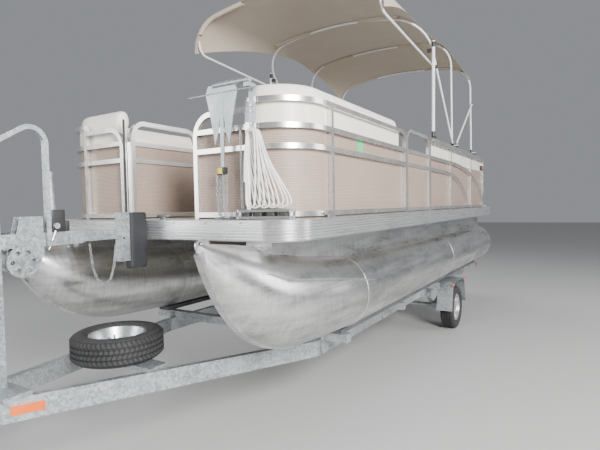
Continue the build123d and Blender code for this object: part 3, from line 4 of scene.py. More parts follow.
import bmesh
import bpy
from mathutils import Matrix, Vector
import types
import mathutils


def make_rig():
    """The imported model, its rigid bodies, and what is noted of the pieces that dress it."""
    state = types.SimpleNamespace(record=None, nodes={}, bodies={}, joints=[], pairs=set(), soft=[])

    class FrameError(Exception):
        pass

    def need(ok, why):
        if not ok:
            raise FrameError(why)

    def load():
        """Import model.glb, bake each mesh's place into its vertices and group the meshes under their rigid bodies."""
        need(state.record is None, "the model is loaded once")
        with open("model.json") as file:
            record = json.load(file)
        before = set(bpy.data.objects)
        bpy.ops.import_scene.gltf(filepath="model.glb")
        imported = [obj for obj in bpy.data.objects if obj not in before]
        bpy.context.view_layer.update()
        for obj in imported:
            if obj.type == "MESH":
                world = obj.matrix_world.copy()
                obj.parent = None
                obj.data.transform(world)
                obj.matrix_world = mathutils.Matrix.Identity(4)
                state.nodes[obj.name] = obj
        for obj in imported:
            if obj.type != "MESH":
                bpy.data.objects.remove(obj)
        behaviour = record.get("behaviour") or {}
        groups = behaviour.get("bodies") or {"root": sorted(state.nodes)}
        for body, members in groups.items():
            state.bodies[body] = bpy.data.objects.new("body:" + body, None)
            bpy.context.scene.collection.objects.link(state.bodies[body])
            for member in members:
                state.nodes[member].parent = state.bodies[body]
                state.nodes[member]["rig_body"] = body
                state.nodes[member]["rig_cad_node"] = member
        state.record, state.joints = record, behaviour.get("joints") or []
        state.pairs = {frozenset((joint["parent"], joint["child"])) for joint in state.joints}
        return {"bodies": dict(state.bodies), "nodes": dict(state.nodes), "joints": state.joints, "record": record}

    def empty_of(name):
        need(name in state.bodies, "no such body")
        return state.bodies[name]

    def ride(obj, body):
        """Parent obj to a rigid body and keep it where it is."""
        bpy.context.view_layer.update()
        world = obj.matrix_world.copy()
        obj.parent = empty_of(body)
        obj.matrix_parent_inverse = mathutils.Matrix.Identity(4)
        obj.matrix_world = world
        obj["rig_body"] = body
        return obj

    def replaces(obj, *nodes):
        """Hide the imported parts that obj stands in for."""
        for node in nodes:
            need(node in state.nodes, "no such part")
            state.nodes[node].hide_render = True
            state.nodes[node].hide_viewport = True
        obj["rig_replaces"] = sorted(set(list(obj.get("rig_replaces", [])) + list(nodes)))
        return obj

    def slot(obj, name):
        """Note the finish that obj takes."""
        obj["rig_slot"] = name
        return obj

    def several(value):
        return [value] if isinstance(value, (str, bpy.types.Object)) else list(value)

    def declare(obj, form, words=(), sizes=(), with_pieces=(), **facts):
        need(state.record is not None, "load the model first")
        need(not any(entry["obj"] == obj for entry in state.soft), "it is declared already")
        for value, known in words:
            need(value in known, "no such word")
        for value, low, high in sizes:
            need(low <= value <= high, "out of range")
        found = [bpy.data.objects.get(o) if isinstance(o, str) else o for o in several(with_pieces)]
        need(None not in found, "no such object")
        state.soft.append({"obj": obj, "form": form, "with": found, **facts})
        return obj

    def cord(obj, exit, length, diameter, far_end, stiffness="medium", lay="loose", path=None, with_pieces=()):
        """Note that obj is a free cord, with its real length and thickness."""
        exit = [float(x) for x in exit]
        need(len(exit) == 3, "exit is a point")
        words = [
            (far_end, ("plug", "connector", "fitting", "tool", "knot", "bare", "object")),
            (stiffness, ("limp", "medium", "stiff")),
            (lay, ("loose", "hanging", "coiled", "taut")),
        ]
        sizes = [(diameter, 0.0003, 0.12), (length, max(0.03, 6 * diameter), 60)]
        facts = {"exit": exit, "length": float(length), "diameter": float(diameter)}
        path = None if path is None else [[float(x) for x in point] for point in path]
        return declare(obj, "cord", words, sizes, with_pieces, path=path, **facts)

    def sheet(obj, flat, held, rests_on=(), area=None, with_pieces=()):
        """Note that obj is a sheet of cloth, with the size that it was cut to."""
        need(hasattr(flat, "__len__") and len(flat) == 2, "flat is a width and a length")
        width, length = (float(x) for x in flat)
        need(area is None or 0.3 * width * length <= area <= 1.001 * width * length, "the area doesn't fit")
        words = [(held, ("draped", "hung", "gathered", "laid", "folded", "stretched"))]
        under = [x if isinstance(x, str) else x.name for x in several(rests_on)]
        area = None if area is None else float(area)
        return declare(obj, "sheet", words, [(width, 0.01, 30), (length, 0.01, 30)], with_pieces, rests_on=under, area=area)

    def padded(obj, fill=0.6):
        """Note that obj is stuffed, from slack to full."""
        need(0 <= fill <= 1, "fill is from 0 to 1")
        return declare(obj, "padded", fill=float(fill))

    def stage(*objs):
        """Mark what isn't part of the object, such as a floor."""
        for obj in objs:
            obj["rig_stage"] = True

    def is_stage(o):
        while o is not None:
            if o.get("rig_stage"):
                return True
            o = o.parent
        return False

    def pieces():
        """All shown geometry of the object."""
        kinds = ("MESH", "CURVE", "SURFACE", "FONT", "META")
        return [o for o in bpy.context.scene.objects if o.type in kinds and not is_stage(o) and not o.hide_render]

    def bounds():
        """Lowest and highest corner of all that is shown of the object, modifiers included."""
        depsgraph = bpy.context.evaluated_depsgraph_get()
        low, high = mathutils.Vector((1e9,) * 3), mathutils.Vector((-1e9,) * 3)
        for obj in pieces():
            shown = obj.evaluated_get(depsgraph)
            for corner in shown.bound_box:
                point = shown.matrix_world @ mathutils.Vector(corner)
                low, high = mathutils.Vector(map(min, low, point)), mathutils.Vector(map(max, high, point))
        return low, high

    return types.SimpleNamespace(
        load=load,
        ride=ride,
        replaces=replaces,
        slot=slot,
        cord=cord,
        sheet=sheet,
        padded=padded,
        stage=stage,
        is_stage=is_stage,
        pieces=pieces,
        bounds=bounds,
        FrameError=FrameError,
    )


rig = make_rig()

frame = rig.load()
nodes = frame["nodes"]
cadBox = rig.bounds()
print("frame loaded:", len(nodes), "nodes")

# The row frame is measured from the bow edge of the deck and from its top
bowEdge = -2.850
deckTop = 1.730


def place(x, station, height):  # by port offset, distance aft of the bow edge and height over the deck
    return Vector((x, bowEdge + station, deckTop + height))


# Camera, at the photograph's viewing angle
cameraView = {
    "spot": place(2.776, -2.337, 0.081),
    "ahead": Vector((-0.52204, 0.85196, -0.04051)),
    "right": Vector((0.85291, 0.52169, -0.01958)),
    "lens": 28.07,
    "film": 36,
    "clip": (0.05, 200),
}
lensData = bpy.data.cameras.new("camera")
lensData.lens = cameraView["lens"]
lensData.sensor_width = cameraView["film"]
lensData.clip_start, lensData.clip_end = cameraView["clip"]
camera = bpy.data.objects.new("camera", lensData)
bpy.context.scene.collection.objects.link(camera)
ahead = cameraView["ahead"].normalized()
right = cameraView["right"].normalized()
turn = Matrix((right, right.cross(ahead), -ahead)).transposed()
camera.matrix_world = Matrix.Translation(cameraView["spot"]) @ turn.to_4x4()
bpy.context.scene.camera = camera
print("camera set")


# Shader maths: a socket that adds its Math nodes when it stands in an expression
class Shade:
    def __init__(self, tree, socket):
        self.tree = tree
        self.socket = socket

    def maths(self, operation, *values):
        node = self.tree.nodes.new("ShaderNodeMath")
        node.operation = operation
        for socket, value in zip(node.inputs, values):
            if isinstance(value, Shade):
                self.tree.links.new(value.socket, socket)
            else:
                socket.default_value = value
        return Shade(self.tree, node.outputs[0])

    def __add__(self, other):
        return self.maths("ADD", self, other)

    def __radd__(self, other):
        return self.maths("ADD", other, self)

    def __sub__(self, other):
        return self.maths("SUBTRACT", self, other)

    def __rsub__(self, other):
        return self.maths("SUBTRACT", other, self)

    def __mul__(self, other):
        return self.maths("MULTIPLY", self, other)

    def __rmul__(self, other):
        return self.maths("MULTIPLY", other, self)

    def __gt__(self, other):
        return self.maths("GREATER_THAN", self, other)

    def __lt__(self, other):
        return self.maths("LESS_THAN", self, other)

    def __abs__(self):
        return self.maths("ABSOLUTE", self)

    def sine(self):
        return self.maths("SINE", self)

    def root(self):
        return self.maths("SQRT", self)

    def angle(self, other):
        return self.maths("ARCTAN2", self, other)

    def least(self, other):
        return self.maths("MAXIMUM", self, other)

    def most(self, other):
        return self.maths("MINIMUM", self, other)


class Finish:
    def __init__(self, name):
        self.material = bpy.data.materials.new(name)
        self.material.use_nodes = True
        self.tree = self.material.node_tree
        self.tree.nodes.clear()

    def node(self, kind, settings=None, sockets=None, out=0):
        node = self.tree.nodes.new("ShaderNode" + kind)
        for name, value in (settings or {}).items():
            if name == "stops":
                ramp = node.color_ramp
                while len(ramp.elements) < len(value):
                    ramp.elements.new(1)
                for element, (position, colour) in zip(ramp.elements, value):
                    element.position = position
                    element.color = (*colour, 1)
            else:
                setattr(node, name, value)
        for name, value in (sockets or {}).items():
            if isinstance(value, Shade):
                self.tree.links.new(value.socket, node.inputs[name])
            elif isinstance(value, tuple) and len(value) == 3 and node.inputs[name].type == "RGBA":
                node.inputs[name].default_value = (*value, 1)
            else:
                node.inputs[name].default_value = value
        return Shade(self.tree, node.outputs[out]) if node.outputs else None

    def spot(self):  # Object coordinates: metres in the row frame
        return self.node("TexCoord", out="Object")

    def axes(self, vector):
        split = self.node("SeparateXYZ", {}, {"Vector": vector})
        outputs = split.socket.node.outputs
        return [Shade(self.tree, outputs[i]) for i in range(3)]

    def scaled(self, vector, scale):
        return self.node("Mapping", {}, {"Vector": vector, "Scale": scale})

    def noise(self, vector, scale, detail, roughness=0.5):
        sockets = {"Vector": vector, "Scale": scale, "Detail": detail, "Roughness": roughness}
        return self.node("TexNoise", {}, sockets, "Fac")

    def ramp(self, value, *stops):
        return self.node("ValToRGB", {"stops": stops}, {"Fac": value}, "Color")

    def mix(self, share, first, second):
        return self.node("Mix", {"data_type": "RGBA"}, {0: share, 6: first, 7: second}, 2)

    def bump(self, height, distance, strength):
        return self.node("Bump", {}, {"Height": height, "Distance": distance, "Strength": strength})

    def surface(self, **sockets):
        named = {name.replace("_", " "): value for name, value in sockets.items()}
        shader = self.node("BsdfPrincipled", {}, named)
        self.node("OutputMaterial", {}, {"Surface": shader})
        return self.material


def dress(material, *names):
    for name in names:
        mesh = nodes[name].data
        mesh.materials.clear()
        mesh.materials.append(material)


# Bare welded aluminium: fine brushing, water marks and a little weld dirt, painted reflection streaks, and darker
# below a line low on the tubes
bareMetal = {
    "light": (0.77, 0.77, 0.765),
    "dull": (0.42, 0.415, 0.405),
    "scuffs": 5.0,
    "darkeningLine": deckTop - 0.55,
    "darkeningFade": 4.0,
}


def tubeMetal():
    make = Finish("tubeMetal")
    spot = make.spot()
    z = make.axes(spot)[2]
    brushed = make.noise(make.scaled(spot, (40.0, 2.0, 40.0)), 6.0, 4.0)
    stains = make.noise(make.scaled(spot, (1.0, 0.35, 2.0)), bareMetal["scuffs"], 5.0, 0.65)
    # painted reflection: long vertical streaks of light and dark in the metal's colour
    reflectionStreaks = make.noise(make.scaled(spot, (1.0, 3.0, 0.4)), 14.0, 4.0, 0.6)
    marks = make.noise(make.scaled(spot, (0.6, 0.25, 5.0)), 4.0, 4.0, 0.6)
    # darker below a line low on the tubes, fading out over a quarter metre
    below = ((bareMetal["darkeningLine"] - z) * bareMetal["darkeningFade"]).least(0.0).most(1.0)
    wearAndPaintedLight = stains * 0.5 + reflectionStreaks * 0.25 + marks * 0.25 - below * 0.07
    return make.surface(
        Base_Color=make.ramp(wearAndPaintedLight, (0.34, bareMetal["dull"]), (0.55, bareMetal["light"])),
        Metallic=1.0,
        Roughness=0.16 + 0.22 * stains + 0.10 * below + 0.06 * brushed,
        Normal=make.bump(brushed * 0.6 + stains * 0.4, 0.0012, 0.4),
    )


def satinMetal(name, light, dull, rough, bumpDepth=0.0003):
    make = Finish(name)
    spot = make.spot()
    grain = make.noise(spot, 220.0, 3.0)
    cloud = make.noise(spot, 7.0, 4.0, 0.6)
    return make.surface(
        Base_Color=make.ramp(cloud, (0.35, dull), (0.65, light)),
        Metallic=0.9,
        Roughness=rough + 0.12 * cloud,
        Normal=make.bump(grain, bumpDepth, 0.3),
    )


def zincMetal(name, light, dark, rough):
    make = Finish(name)
    spot = make.spot()
    spangle = make.axes(make.node("TexVoronoi", {}, {"Vector": spot, "Scale": 70.0}, "Color"))[0]
    cloud = make.noise(spot, 6.0, 5.0, 0.6)
    return make.surface(
        Base_Color=make.ramp(spangle * 0.35 + cloud * 0.65, (0.3, dark), (0.7, light)),
        Metallic=0.75,
        Roughness=rough + 0.18 * spangle,
        Normal=make.bump(cloud * 0.6 + spangle * 0.1, 0.001, 0.25),
    )


def plainPaint(name, colour, shade, rough, grainScale=160.0, depth=0.0002):
    make = Finish(name)
    spot = make.spot()
    grain = make.noise(spot, grainScale, 3.0)
    cloud = make.noise(spot, 5.0, 4.0, 0.6)
    return make.surface(
        Base_Color=make.ramp(cloud, (0.3, shade), (0.7, colour)),
        Roughness=rough + 0.1 * cloud,
        Normal=make.bump(grain, depth, 0.4),
    )


# Reeded rub rail: painted highlights on the ribs and painted shade in the furrows between them
rubLook = {"pitch": 0.020, "ribHighlight": (0.88, 0.88, 0.88), "furrowShade": (0.55, 0.55, 0.555)}


def rubMetal():
    make = Finish("rubRail")
    spot = make.spot()
    z = make.axes(spot)[2]
    # painted light: a wave across the height makes the ribs lighter and the furrows darker
    ribShading = ((deckTop - z) * (2 * math.pi / rubLook["pitch"])).sine() * 0.5 + 0.5
    cloud = make.noise(make.scaled(spot, (1.0, 1.0, 14.0)), 2.2, 4.0, 0.6)
    scratch = make.noise(make.scaled(spot, (1.0, 1.0, 60.0)), 9.0, 4.0, 0.6)
    wearAndPaintedLight = cloud * 0.25 + scratch * 0.25 + ribShading * 0.5
    return make.surface(
        Base_Color=make.ramp(wearAndPaintedLight, (0.2, rubLook["furrowShade"]), (0.6, rubLook["ribHighlight"])),
        Metallic=0.9,
        Roughness=0.22 + 0.14 * cloud,
        Normal=make.bump(scratch, 0.0004, 0.3),
    )


# Each finish by its colour, its darker shade and its roughness, then the parts that wear it
zincFinish = zincMetal("hotZinc", (0.50, 0.53, 0.54), (0.27, 0.30, 0.315), 0.34)
plasticFinish = plainPaint("blackPlastic", (0.03, 0.03, 0.03), (0.02, 0.02, 0.02), 0.4)
amberFinish = plainPaint("amberLens", (0.85, 0.16, 0.01), (0.70, 0.12, 0.01), 0.2)
dress(tubeMetal(), "tube_port", "tube_starboard", "risers", "cross_channels", "motor_pod")
dress(rubMetal(), "rub_rail_bow", "rub_rail_sides", "rub_rail_stern")
dress(
    satinMetal("anodisedRail", (0.80, 0.79, 0.77), (0.66, 0.65, 0.63), 0.2),
    "fence_bow_port", "fence_bow_starboard", "fence_aft_port", "fence_aft_starboard", "chair_pedestal",
)
dress(
    zincFinish,
    "anchor", "anchor_bracket", "axle", "chains", "coupler", "fenders", "jack", "trailer_frame",
    "winch", "winch_mast",
)
dress(
    satinMetal("polishedSteel", (0.85, 0.85, 0.84), (0.72, 0.72, 0.71), 0.1, 0.0001),
    "boarding_step", "cleats",
)
dress(
    satinMetal("wheelSilver", (0.75, 0.75, 0.75), (0.6, 0.6, 0.6), 0.3),
    "wheel_port", "wheel_starboard",
)
dress(
    plainPaint("hoopPaint", (0.84, 0.84, 0.83), (0.74, 0.74, 0.73), 0.3),
    "bimini_frame", "bimini_struts",
)
dress(
    plainPaint("blackRubber", (0.03, 0.03, 0.03), (0.018, 0.018, 0.018), 0.6),
    "bow_bumper", "ladder_treads",
)
dress(plainPaint("cowlGloss", (0.022, 0.022, 0.024), (0.015, 0.015, 0.017), 0.12), "motor_cowl")
dress(
    plainPaint("motorSatin", (0.035, 0.035, 0.037), (0.02, 0.02, 0.022), 0.32),
    "motor_leg", "swivel_bracket", "propeller",
)
dress(plainPaint("seatMoulding", (0.78, 0.74, 0.66), (0.70, 0.66, 0.58), 0.45), "seat_bases")
dress(plainPaint("gelCoat", (0.82, 0.79, 0.72), (0.76, 0.73, 0.66), 0.22), "helm_console")
dress(plainPaint("deckFloor", (0.50, 0.46, 0.40), (0.40, 0.37, 0.32), 0.7, 90.0, 0.002), "deck")
dress(plainPaint("bunkCarpet", (0.10, 0.10, 0.11), (0.06, 0.06, 0.07), 0.9, 400.0, 0.003), "bunks")
dress(plainPaint("redLens", (0.5, 0.02, 0.015), (0.35, 0.01, 0.01), 0.15), "trailer_lights")
dress(amberFinish, "reflectors")
dress(plasticFinish, "steering_wheel")


# Tyres: tread blocks round the rim with painted shade in the grooves, and a silver wheel inside the spare
tread = {"blocks": 60.0, "wave": 60.0, "zigzag": 2.0, "rings": 170.0, "shoulder": 0.288, "depth": 0.006}


def tyreFinish(name, centre, axis, rim=0.0):
    make = Finish(name)
    spot = make.spot()
    parts = make.axes(spot)
    first, second = [k for k in range(3) if k != axis]
    a, b = parts[first] - centre[first], parts[second] - centre[second]
    along = parts[axis] - centre[axis]
    reach = (a * a + b * b).root()
    slant = a.angle(b) * tread["blocks"] + (along * tread["wave"]).sine() * tread["zigzag"]
    rings = (along * tread["rings"]).sine() > 0.8
    cut = ((slant.sine() > 0.55) + rings).most(1.0) * (reach > tread["shoulder"])
    letters = make.noise(spot, 40.0, 3.0, 0.6)
    # painted shade: the tread's grooves darker in the rubber's colour
    rubber = make.ramp(
        letters * 0.7 - cut * 0.5, (0.0, (0.008, 0.008, 0.008)), (0.6, (0.05, 0.05, 0.052))
    )
    wheel = reach < rim
    silver = make.ramp(letters, (0.3, (0.50, 0.51, 0.52)), (0.7, (0.66, 0.67, 0.68)))
    return make.surface(
        Base_Color=make.mix(wheel, rubber, silver),
        Metallic=0.8 * wheel,
        Roughness=(0.62 + 0.12 * letters) * (1 - wheel) + 0.33 * wheel,
        Normal=make.bump((1 - cut) * 0.8 + letters * 0.1, tread["depth"], 0.8),
    )


wheelStation = 4.580
wheelPlace = (1.1, bowEdge + wheelStation, 0.305)
dress(tyreFinish("tyreTreadPort", wheelPlace, 0), "tyre_port")
dress(tyreFinish("tyreTreadStarboard", (-wheelPlace[0], *wheelPlace[1:]), 0), "tyre_starboard")
dress(tyreFinish("spareTyre", (0.0, bowEdge - 0.260, 0.882), 2, 0.192), "spare_wheel")
print("metals and paints made")


# Fence panels: corrugated taupe below the second rail, smooth cream above it, with painted shade on the corrugations
# and at the panels' foot
panelLook = {
    "taupe": (0.425, 0.325, 0.268),
    "taupeShade": (0.285, 0.214, 0.176),
    "cream": (0.84, 0.80, 0.71),
    "creamShade": (0.76, 0.71, 0.61),
    "split": deckTop + 0.611,
    "pitch": 0.011,
    "rail": ((0.80, 0.79, 0.77), (0.68, 0.67, 0.65)),
    "sheet": 0.0045,
}


def panelShades(make, spot):
    z = make.axes(spot)[2]
    sockets = {"Vector": spot, "Scale": 0.314 / panelLook["pitch"]}
    ribs = make.node("TexWave", {"bands_direction": "Z"}, sockets, "Fac")
    upper = z > panelLook["split"]
    cloud = make.noise(spot, 3.0, 4.0, 0.6)
    dust = make.noise(make.scaled(spot, (1.0, 1.0, 0.3)), 30.0, 4.0, 0.65)
    foot = (1 - (z - deckTop) * 6.0).least(0.0)
    # painted shade: the corrugation's bands lighter and darker, and the panels darker near the deck at their foot
    taupe = make.ramp(
        ribs * 0.45 + cloud * 0.35 + dust * 0.2 - foot * 0.2,
        (0.2, panelLook["taupeShade"]), (0.75, panelLook["taupe"]),
    )
    cream = make.ramp(cloud * 0.5 + dust * 0.5, (0.35, panelLook["creamShade"]), (0.6, panelLook["cream"]))
    return make.mix(upper, taupe, cream), 0.32 + 0.14 * dust, ribs * (1 - upper)


def panelSheet():
    make = Finish("panelSheet")
    colour, rough, ribs = panelShades(make, make.spot())
    return make.surface(Base_Color=colour, Roughness=rough, Normal=make.bump(ribs, 0.003, 0.6))


# A gate's node holds rails and sheet: the sheet's faces lie close to the gate's own plane
def gateFinish(name, axis, plane):
    make = Finish(name)
    spot = make.spot()
    facing = make.axes(make.node("TexCoord", out="Normal"))[axis]
    offset = abs(make.axes(spot)[axis] - plane)
    sheet = (offset < panelLook["sheet"]) * (abs(facing) > 0.5)
    colour, rough, ribs = panelShades(make, spot)
    cloud = make.noise(spot, 7.0, 4.0, 0.6)
    light, dull = panelLook["rail"]
    metal = make.ramp(cloud, (0.35, dull), (0.65, light))
    return make.surface(
        Base_Color=make.mix(sheet, metal, colour),
        Metallic=0.9 * (1 - sheet),
        Roughness=rough * sheet + (0.26 + 0.12 * cloud) * (1 - sheet),
        Normal=make.bump(ribs * sheet, 0.003, 0.6),
    )


panelPaint = panelSheet()
dress(panelPaint, "panels_bow_port", "panels_bow_starboard", "panels_aft_port", "panels_aft_starboard")
for name, axis, plane in (
    ("gate_port", 0, 1.245), ("gate_starboard", 0, -1.245), ("gate_bow", 0, -0.3505),
    ("gate_stern", 1, bowEdge + 6.2), ("fence_stern", 1, bowEdge + 6.2),
):
    dress(gateFinish(f"{name}_finish".replace("_", ""), axis, plane), name)

# Windscreen: tinted acrylic
make = Finish("tintedAcrylic")
haze = make.noise(make.spot(), 60.0, 2.0)
dress(
    make.surface(
        Base_Color=(0.35, 0.34, 0.33), Roughness=0.04 + 0.03 * haze, Transmission_Weight=0.75,
        IOR=1.49, Alpha=0.6,
    ),
    "windscreen",
)


# Vinyl and canvas
def vinyl(name, colour, shade):
    make = Finish(name)
    spot = make.spot()
    grain = make.node("TexVoronoi", {}, {"Vector": spot, "Scale": 420.0}, "Distance")
    cloud = make.noise(spot, 6.0, 4.0, 0.6)
    return make.surface(
        Base_Color=make.ramp(cloud, (0.3, shade), (0.7, colour)),
        Roughness=0.42 + 0.12 * cloud,
        Normal=make.bump(grain, 0.0006, 0.3),
        Sheen_Weight=0.1,
    )


# Pieces: each is a bmesh shape that rides on a body, most of them with a slot
def makePiece(name, shape, material, body="boat", slot=None, sharp=40):
    bmesh.ops.recalc_face_normals(shape, faces=shape.faces)
    for face in shape.faces:
        face.smooth = True
    mesh = bpy.data.meshes.new(name)
    shape.to_mesh(mesh)
    shape.free()
    mesh.materials.append(material)
    mesh.set_sharp_from_angle(angle=math.radians(sharp))
    piece = bpy.data.objects.new(name, mesh)
    bpy.context.scene.collection.objects.link(piece)
    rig.ride(piece, body)
    if slot:
        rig.slot(piece, slot)
    return piece


# A grid of faces laid along a shape, which pointAt gives for shares of its width and length
def addGrid(shape, columns, rows, pointAt):
    made = bmesh.ops.create_grid(shape, x_segments=columns, y_segments=rows, size=0.5)
    for vert in made["verts"]:
        vert.co = pointAt(vert.co.x + 0.5, vert.co.y + 0.5)


def mapped(name, columns, rows, pointAt, material, slot, wall=0.0, capped=False):
    shape = bmesh.new()
    addGrid(shape, columns, rows, pointAt)
    bmesh.ops.remove_doubles(shape, verts=shape.verts, dist=0.0001)
    if capped:
        bmesh.ops.edgeloop_fill(shape, edges=[edge for edge in shape.edges if edge.is_boundary])
    if wall:
        bmesh.ops.recalc_face_normals(shape, faces=shape.faces)
        bmesh.ops.solidify(shape, geom=shape.faces, thickness=wall)
    return makePiece(name, shape, material, slot=slot)


def addRod(shape, start, end, radius, sides):
    run = end - start
    matrix = Matrix.Translation((start + end) / 2) @ run.to_track_quat("Z", "Y").to_matrix().to_4x4()
    bmesh.ops.create_cone(
        shape, cap_ends=True, segments=sides, radius1=radius, radius2=radius,
        depth=run.length, matrix=matrix,
    )


def addBox(shape, low, high, roundness):
    matrix = Matrix.Translation((low + high) / 2) @ Matrix.Diagonal((*(high - low), 1))
    made = bmesh.ops.create_cube(shape, size=1, matrix=matrix)
    if roundness:
        edges = list({edge for vert in made["verts"] for edge in vert.link_edges})
        bmesh.ops.bevel(shape, geom=edges, offset=roundness, segments=2, profile=0.5, affect="EDGES")


# Cushions: crowned closed forms with sewn seams
cushion = {
    "seatLow": 0.333,
    "seatHigh": 0.437,
    "seatRise": 0.02,
    "seatFall": 0.022,
    "seatSeam": 0.010,
    "inner": 0.560,
    "outer": 1.0905,
    "bow": 0.3045,
    "end": 2.060,
    "dome": 0.480,
    "corner": 0.2085,
    "crown": 0.014,
    "seams": (0.86, 1.46),
    "backLine": 1.1535,
    "backBow": 0.2415,
    "backBend": 0.2685,
    "shoulder": 0.868,
    "backSeams": (0.62, 1.28),
    "backLength": 1.987,
    "backMiddle": 0.615,
    "backCrest": 0.8,
    "backEnd": 0.045,
    "seamWidth": 0.009,
    "seamPinch": 0.09,
    "seamDip": 0.006,
    "swell": 0.004,
    "welt": 0.0042,
    "weltOut": -0.0475,
    "weltHeight": 0.7615,
    "seatEnd": 0.03,
}
aftBench = {
    "first": -1.0905,
    "last": 0.380,
    "front": 5.480,
    "rear": 6.0455,
    "seams": (-0.60, -0.11),
    "backFirst": -1.1535,
    "backLine": 6.1085,
    "weltLength": 1.43,
}
backOutline = (
    # outwards from the middle, height
    (0.056, 0.336), (0.058, 0.46), (0.058, 0.62), (0.057, 0.745), (0.059, 0.80), (0.052, 0.852),
    (0.032, 0.884), (0.002, 0.894), (-0.028, 0.886), (-0.050, 0.862), (-0.059, 0.826), (-0.056, 0.792),
    (-0.045, 0.770), (-0.047, 0.752), (-0.055, 0.72), (-0.059, 0.62), (-0.057, 0.50), (-0.053, 0.44),
    (-0.047, 0.37), (-0.036, 0.336),
)


def loopPoint(points, share):
    count = len(points)
    at = share * count
    index = int(math.floor(at)) % count
    part = at - math.floor(at)
    a, b, c, d = (Vector(points[(index + k) % count]) for k in (-1, 0, 1, 2))
    return 0.5 * (
        2 * b + (c - a) * part + (2 * a - 5 * b + 4 * c - d) * part**2 + (3 * b - a - 3 * c + d) * part**3
    )


def groove(along, seams):
    return sum(math.exp(-(((along - seam) / cushion["seamWidth"]) ** 2)) for seam in seams)


def endRound(along, total, reach):
    near = min(along, total - along)
    if near >= reach:
        return 1.0
    return math.sqrt(max(0.0, 1 - ((reach - near) / reach) ** 2))


def backPath(along, inner):
    first = cushion["backLine"] - cushion["backBend"] - inner
    bend = cushion["backBend"]
    if along < first:
        return Vector((inner + along, cushion["backBow"])), Vector((0, -1))
    if along < first + bend * math.pi / 2:
        turn = (along - first) / bend
        out = Vector((math.sin(turn), -math.cos(turn)))
        middle = Vector((cushion["backLine"] - bend, cushion["backBow"] + bend))
        return middle + bend * out, out
    rest = along - first - bend * math.pi / 2
    return Vector((cushion["backLine"], cushion["backBow"] + bend + rest)), Vector((1, 0))


# One slice of a backrest: how far out and how high, slimmer at its ends and pinched at its seams
def backSlice(u, soft, seam):
    out, height = loopPoint(backOutline, u)
    dip = cushion["seamDip"] * seam if height > cushion["backCrest"] else 0
    tall = (height - cushion["backMiddle"]) * (0.93 + 0.07 * soft)
    out *= (0.3 + 0.7 * soft) * (1 - cushion["seamPinch"] * seam)
    return out, cushion["backMiddle"] + tall - dip


def addWelt(name, rows, lineAt):
    def pointAt(u, v):
        ahead = (lineAt(min(v + 0.002, 1)) - lineAt(max(v - 0.002, 0))).normalized()
        across = ahead.cross(Vector((0, 0, 1))).normalized()
        turn = 2 * math.pi * u
        return lineAt(v) + cushion["welt"] * (math.cos(turn) * across + math.sin(turn) * across.cross(ahead))

    mapped(name, 6, rows, pointAt, pipingVinyl, "vinyl_cream")


def bowBack(side, sign):
    inner = cushion["shoulder"] if sign > 0 else cushion["dome"]
    total = cushion["backLength"] + cushion["shoulder"] - inner
    seams = [seam + cushion["shoulder"] - inner for seam in cushion["backSeams"]]
    spans = (0, *seams, total)

    def pointAt(u, v):
        along = v * total
        spot, outward = backPath(along, inner)
        out, height = backSlice(u, endRound(along, total, cushion["backEnd"]), groove(along, seams))
        span = next((a, b) for a, b in zip(spans, spans[1:]) if along <= b + 0.001)
        if out < 0:
            out -= cushion["swell"] * math.sin(math.pi * (along - span[0]) / (span[1] - span[0]))
        at = spot + outward * out
        return place(sign * at.x, at.y, height)

    back = mapped(f"back_{side}", 60, 260, pointAt, creamVinyl, "vinyl_cream", capped=True)

    def weltAt(v):
        spot, outward = backPath(0.05 + v * (total - 0.1), inner)
        at = spot + outward * cushion["weltOut"]
        return place(sign * at.x, at.y, cushion["weltHeight"])

    addWelt(f"back_welt_{side}", 120, weltAt)
    return back


# One slice of a seat: its foot rises and its top falls towards the ends, and its seams are sewn in
def seatSlice(x0, x1, u, soft, seam):
    low = cushion["seatLow"] + cushion["seatRise"] * (1 - soft)
    high = cushion["seatHigh"] - cushion["seatFall"] * (1 - soft)
    turn, power = 2 * math.pi * u, 2 / 8
    along = math.copysign(abs(math.cos(turn)) ** power, math.cos(turn))
    upward = math.copysign(abs(math.sin(turn)) ** power, math.sin(turn))
    x = (x0 + x1) / 2 + along * (abs(x1 - x0) / 2 - 0.005 * (1 - upward**2))
    z = (low + high) / 2 + (high - low) / 2 * upward
    if upward > 0:
        z += cushion["crown"] * soft * (1 - along**2) - seam * cushion["seatSeam"]
    return x, z


def loungeSeat(side, sign):
    total = cushion["end"] - cushion["bow"]

    def pointAt(u, v):
        along = v * total
        into = max(0.0, cushion["corner"] - along)
        outer = cushion["outer"] - cushion["corner"] + math.sqrt(max(0, cushion["corner"] ** 2 - into**2))
        soft = endRound(along, total, cushion["seatEnd"])
        seam = groove(cushion["bow"] + along, cushion["seams"])
        x, z = seatSlice(cushion["inner"], outer, u, soft, seam)
        return place(sign * x, cushion["bow"] + along, z)

    return mapped(f"seat_{side}", 72, 240, pointAt, creamVinyl, "vinyl_cream", capped=True)


def aftSeat():
    first, total = aftBench["first"], aftBench["last"] - aftBench["first"]

    def pointAt(u, v):
        along = v * total
        soft = endRound(along, total, cushion["seatEnd"])
        seam = groove(first + along, aftBench["seams"])
        y, z = seatSlice(aftBench["front"], aftBench["rear"], u, soft, seam)
        return place(first + along, y, z)

    return mapped("seat_aft", 72, 200, pointAt, creamVinyl, "vinyl_cream", capped=True)


def aftBack():
    first, total = aftBench["backFirst"], aftBench["last"] - aftBench["backFirst"]

    def pointAt(u, v):
        along = v * total
        soft = endRound(along, total, cushion["backEnd"])
        out, height = backSlice(u, soft, groove(first + along, aftBench["seams"]))
        return place(first + along, aftBench["backLine"] + out, height)

    def weltAt(v):
        across = first + 0.05 + v * aftBench["weltLength"]
        return place(across, aftBench["backLine"] + cushion["weltOut"], cushion["weltHeight"])

    back = mapped("back_aft", 60, 220, pointAt, creamVinyl, "vinyl_cream", capped=True)
    addWelt("back_welt_aft", 90, weltAt)
    return back


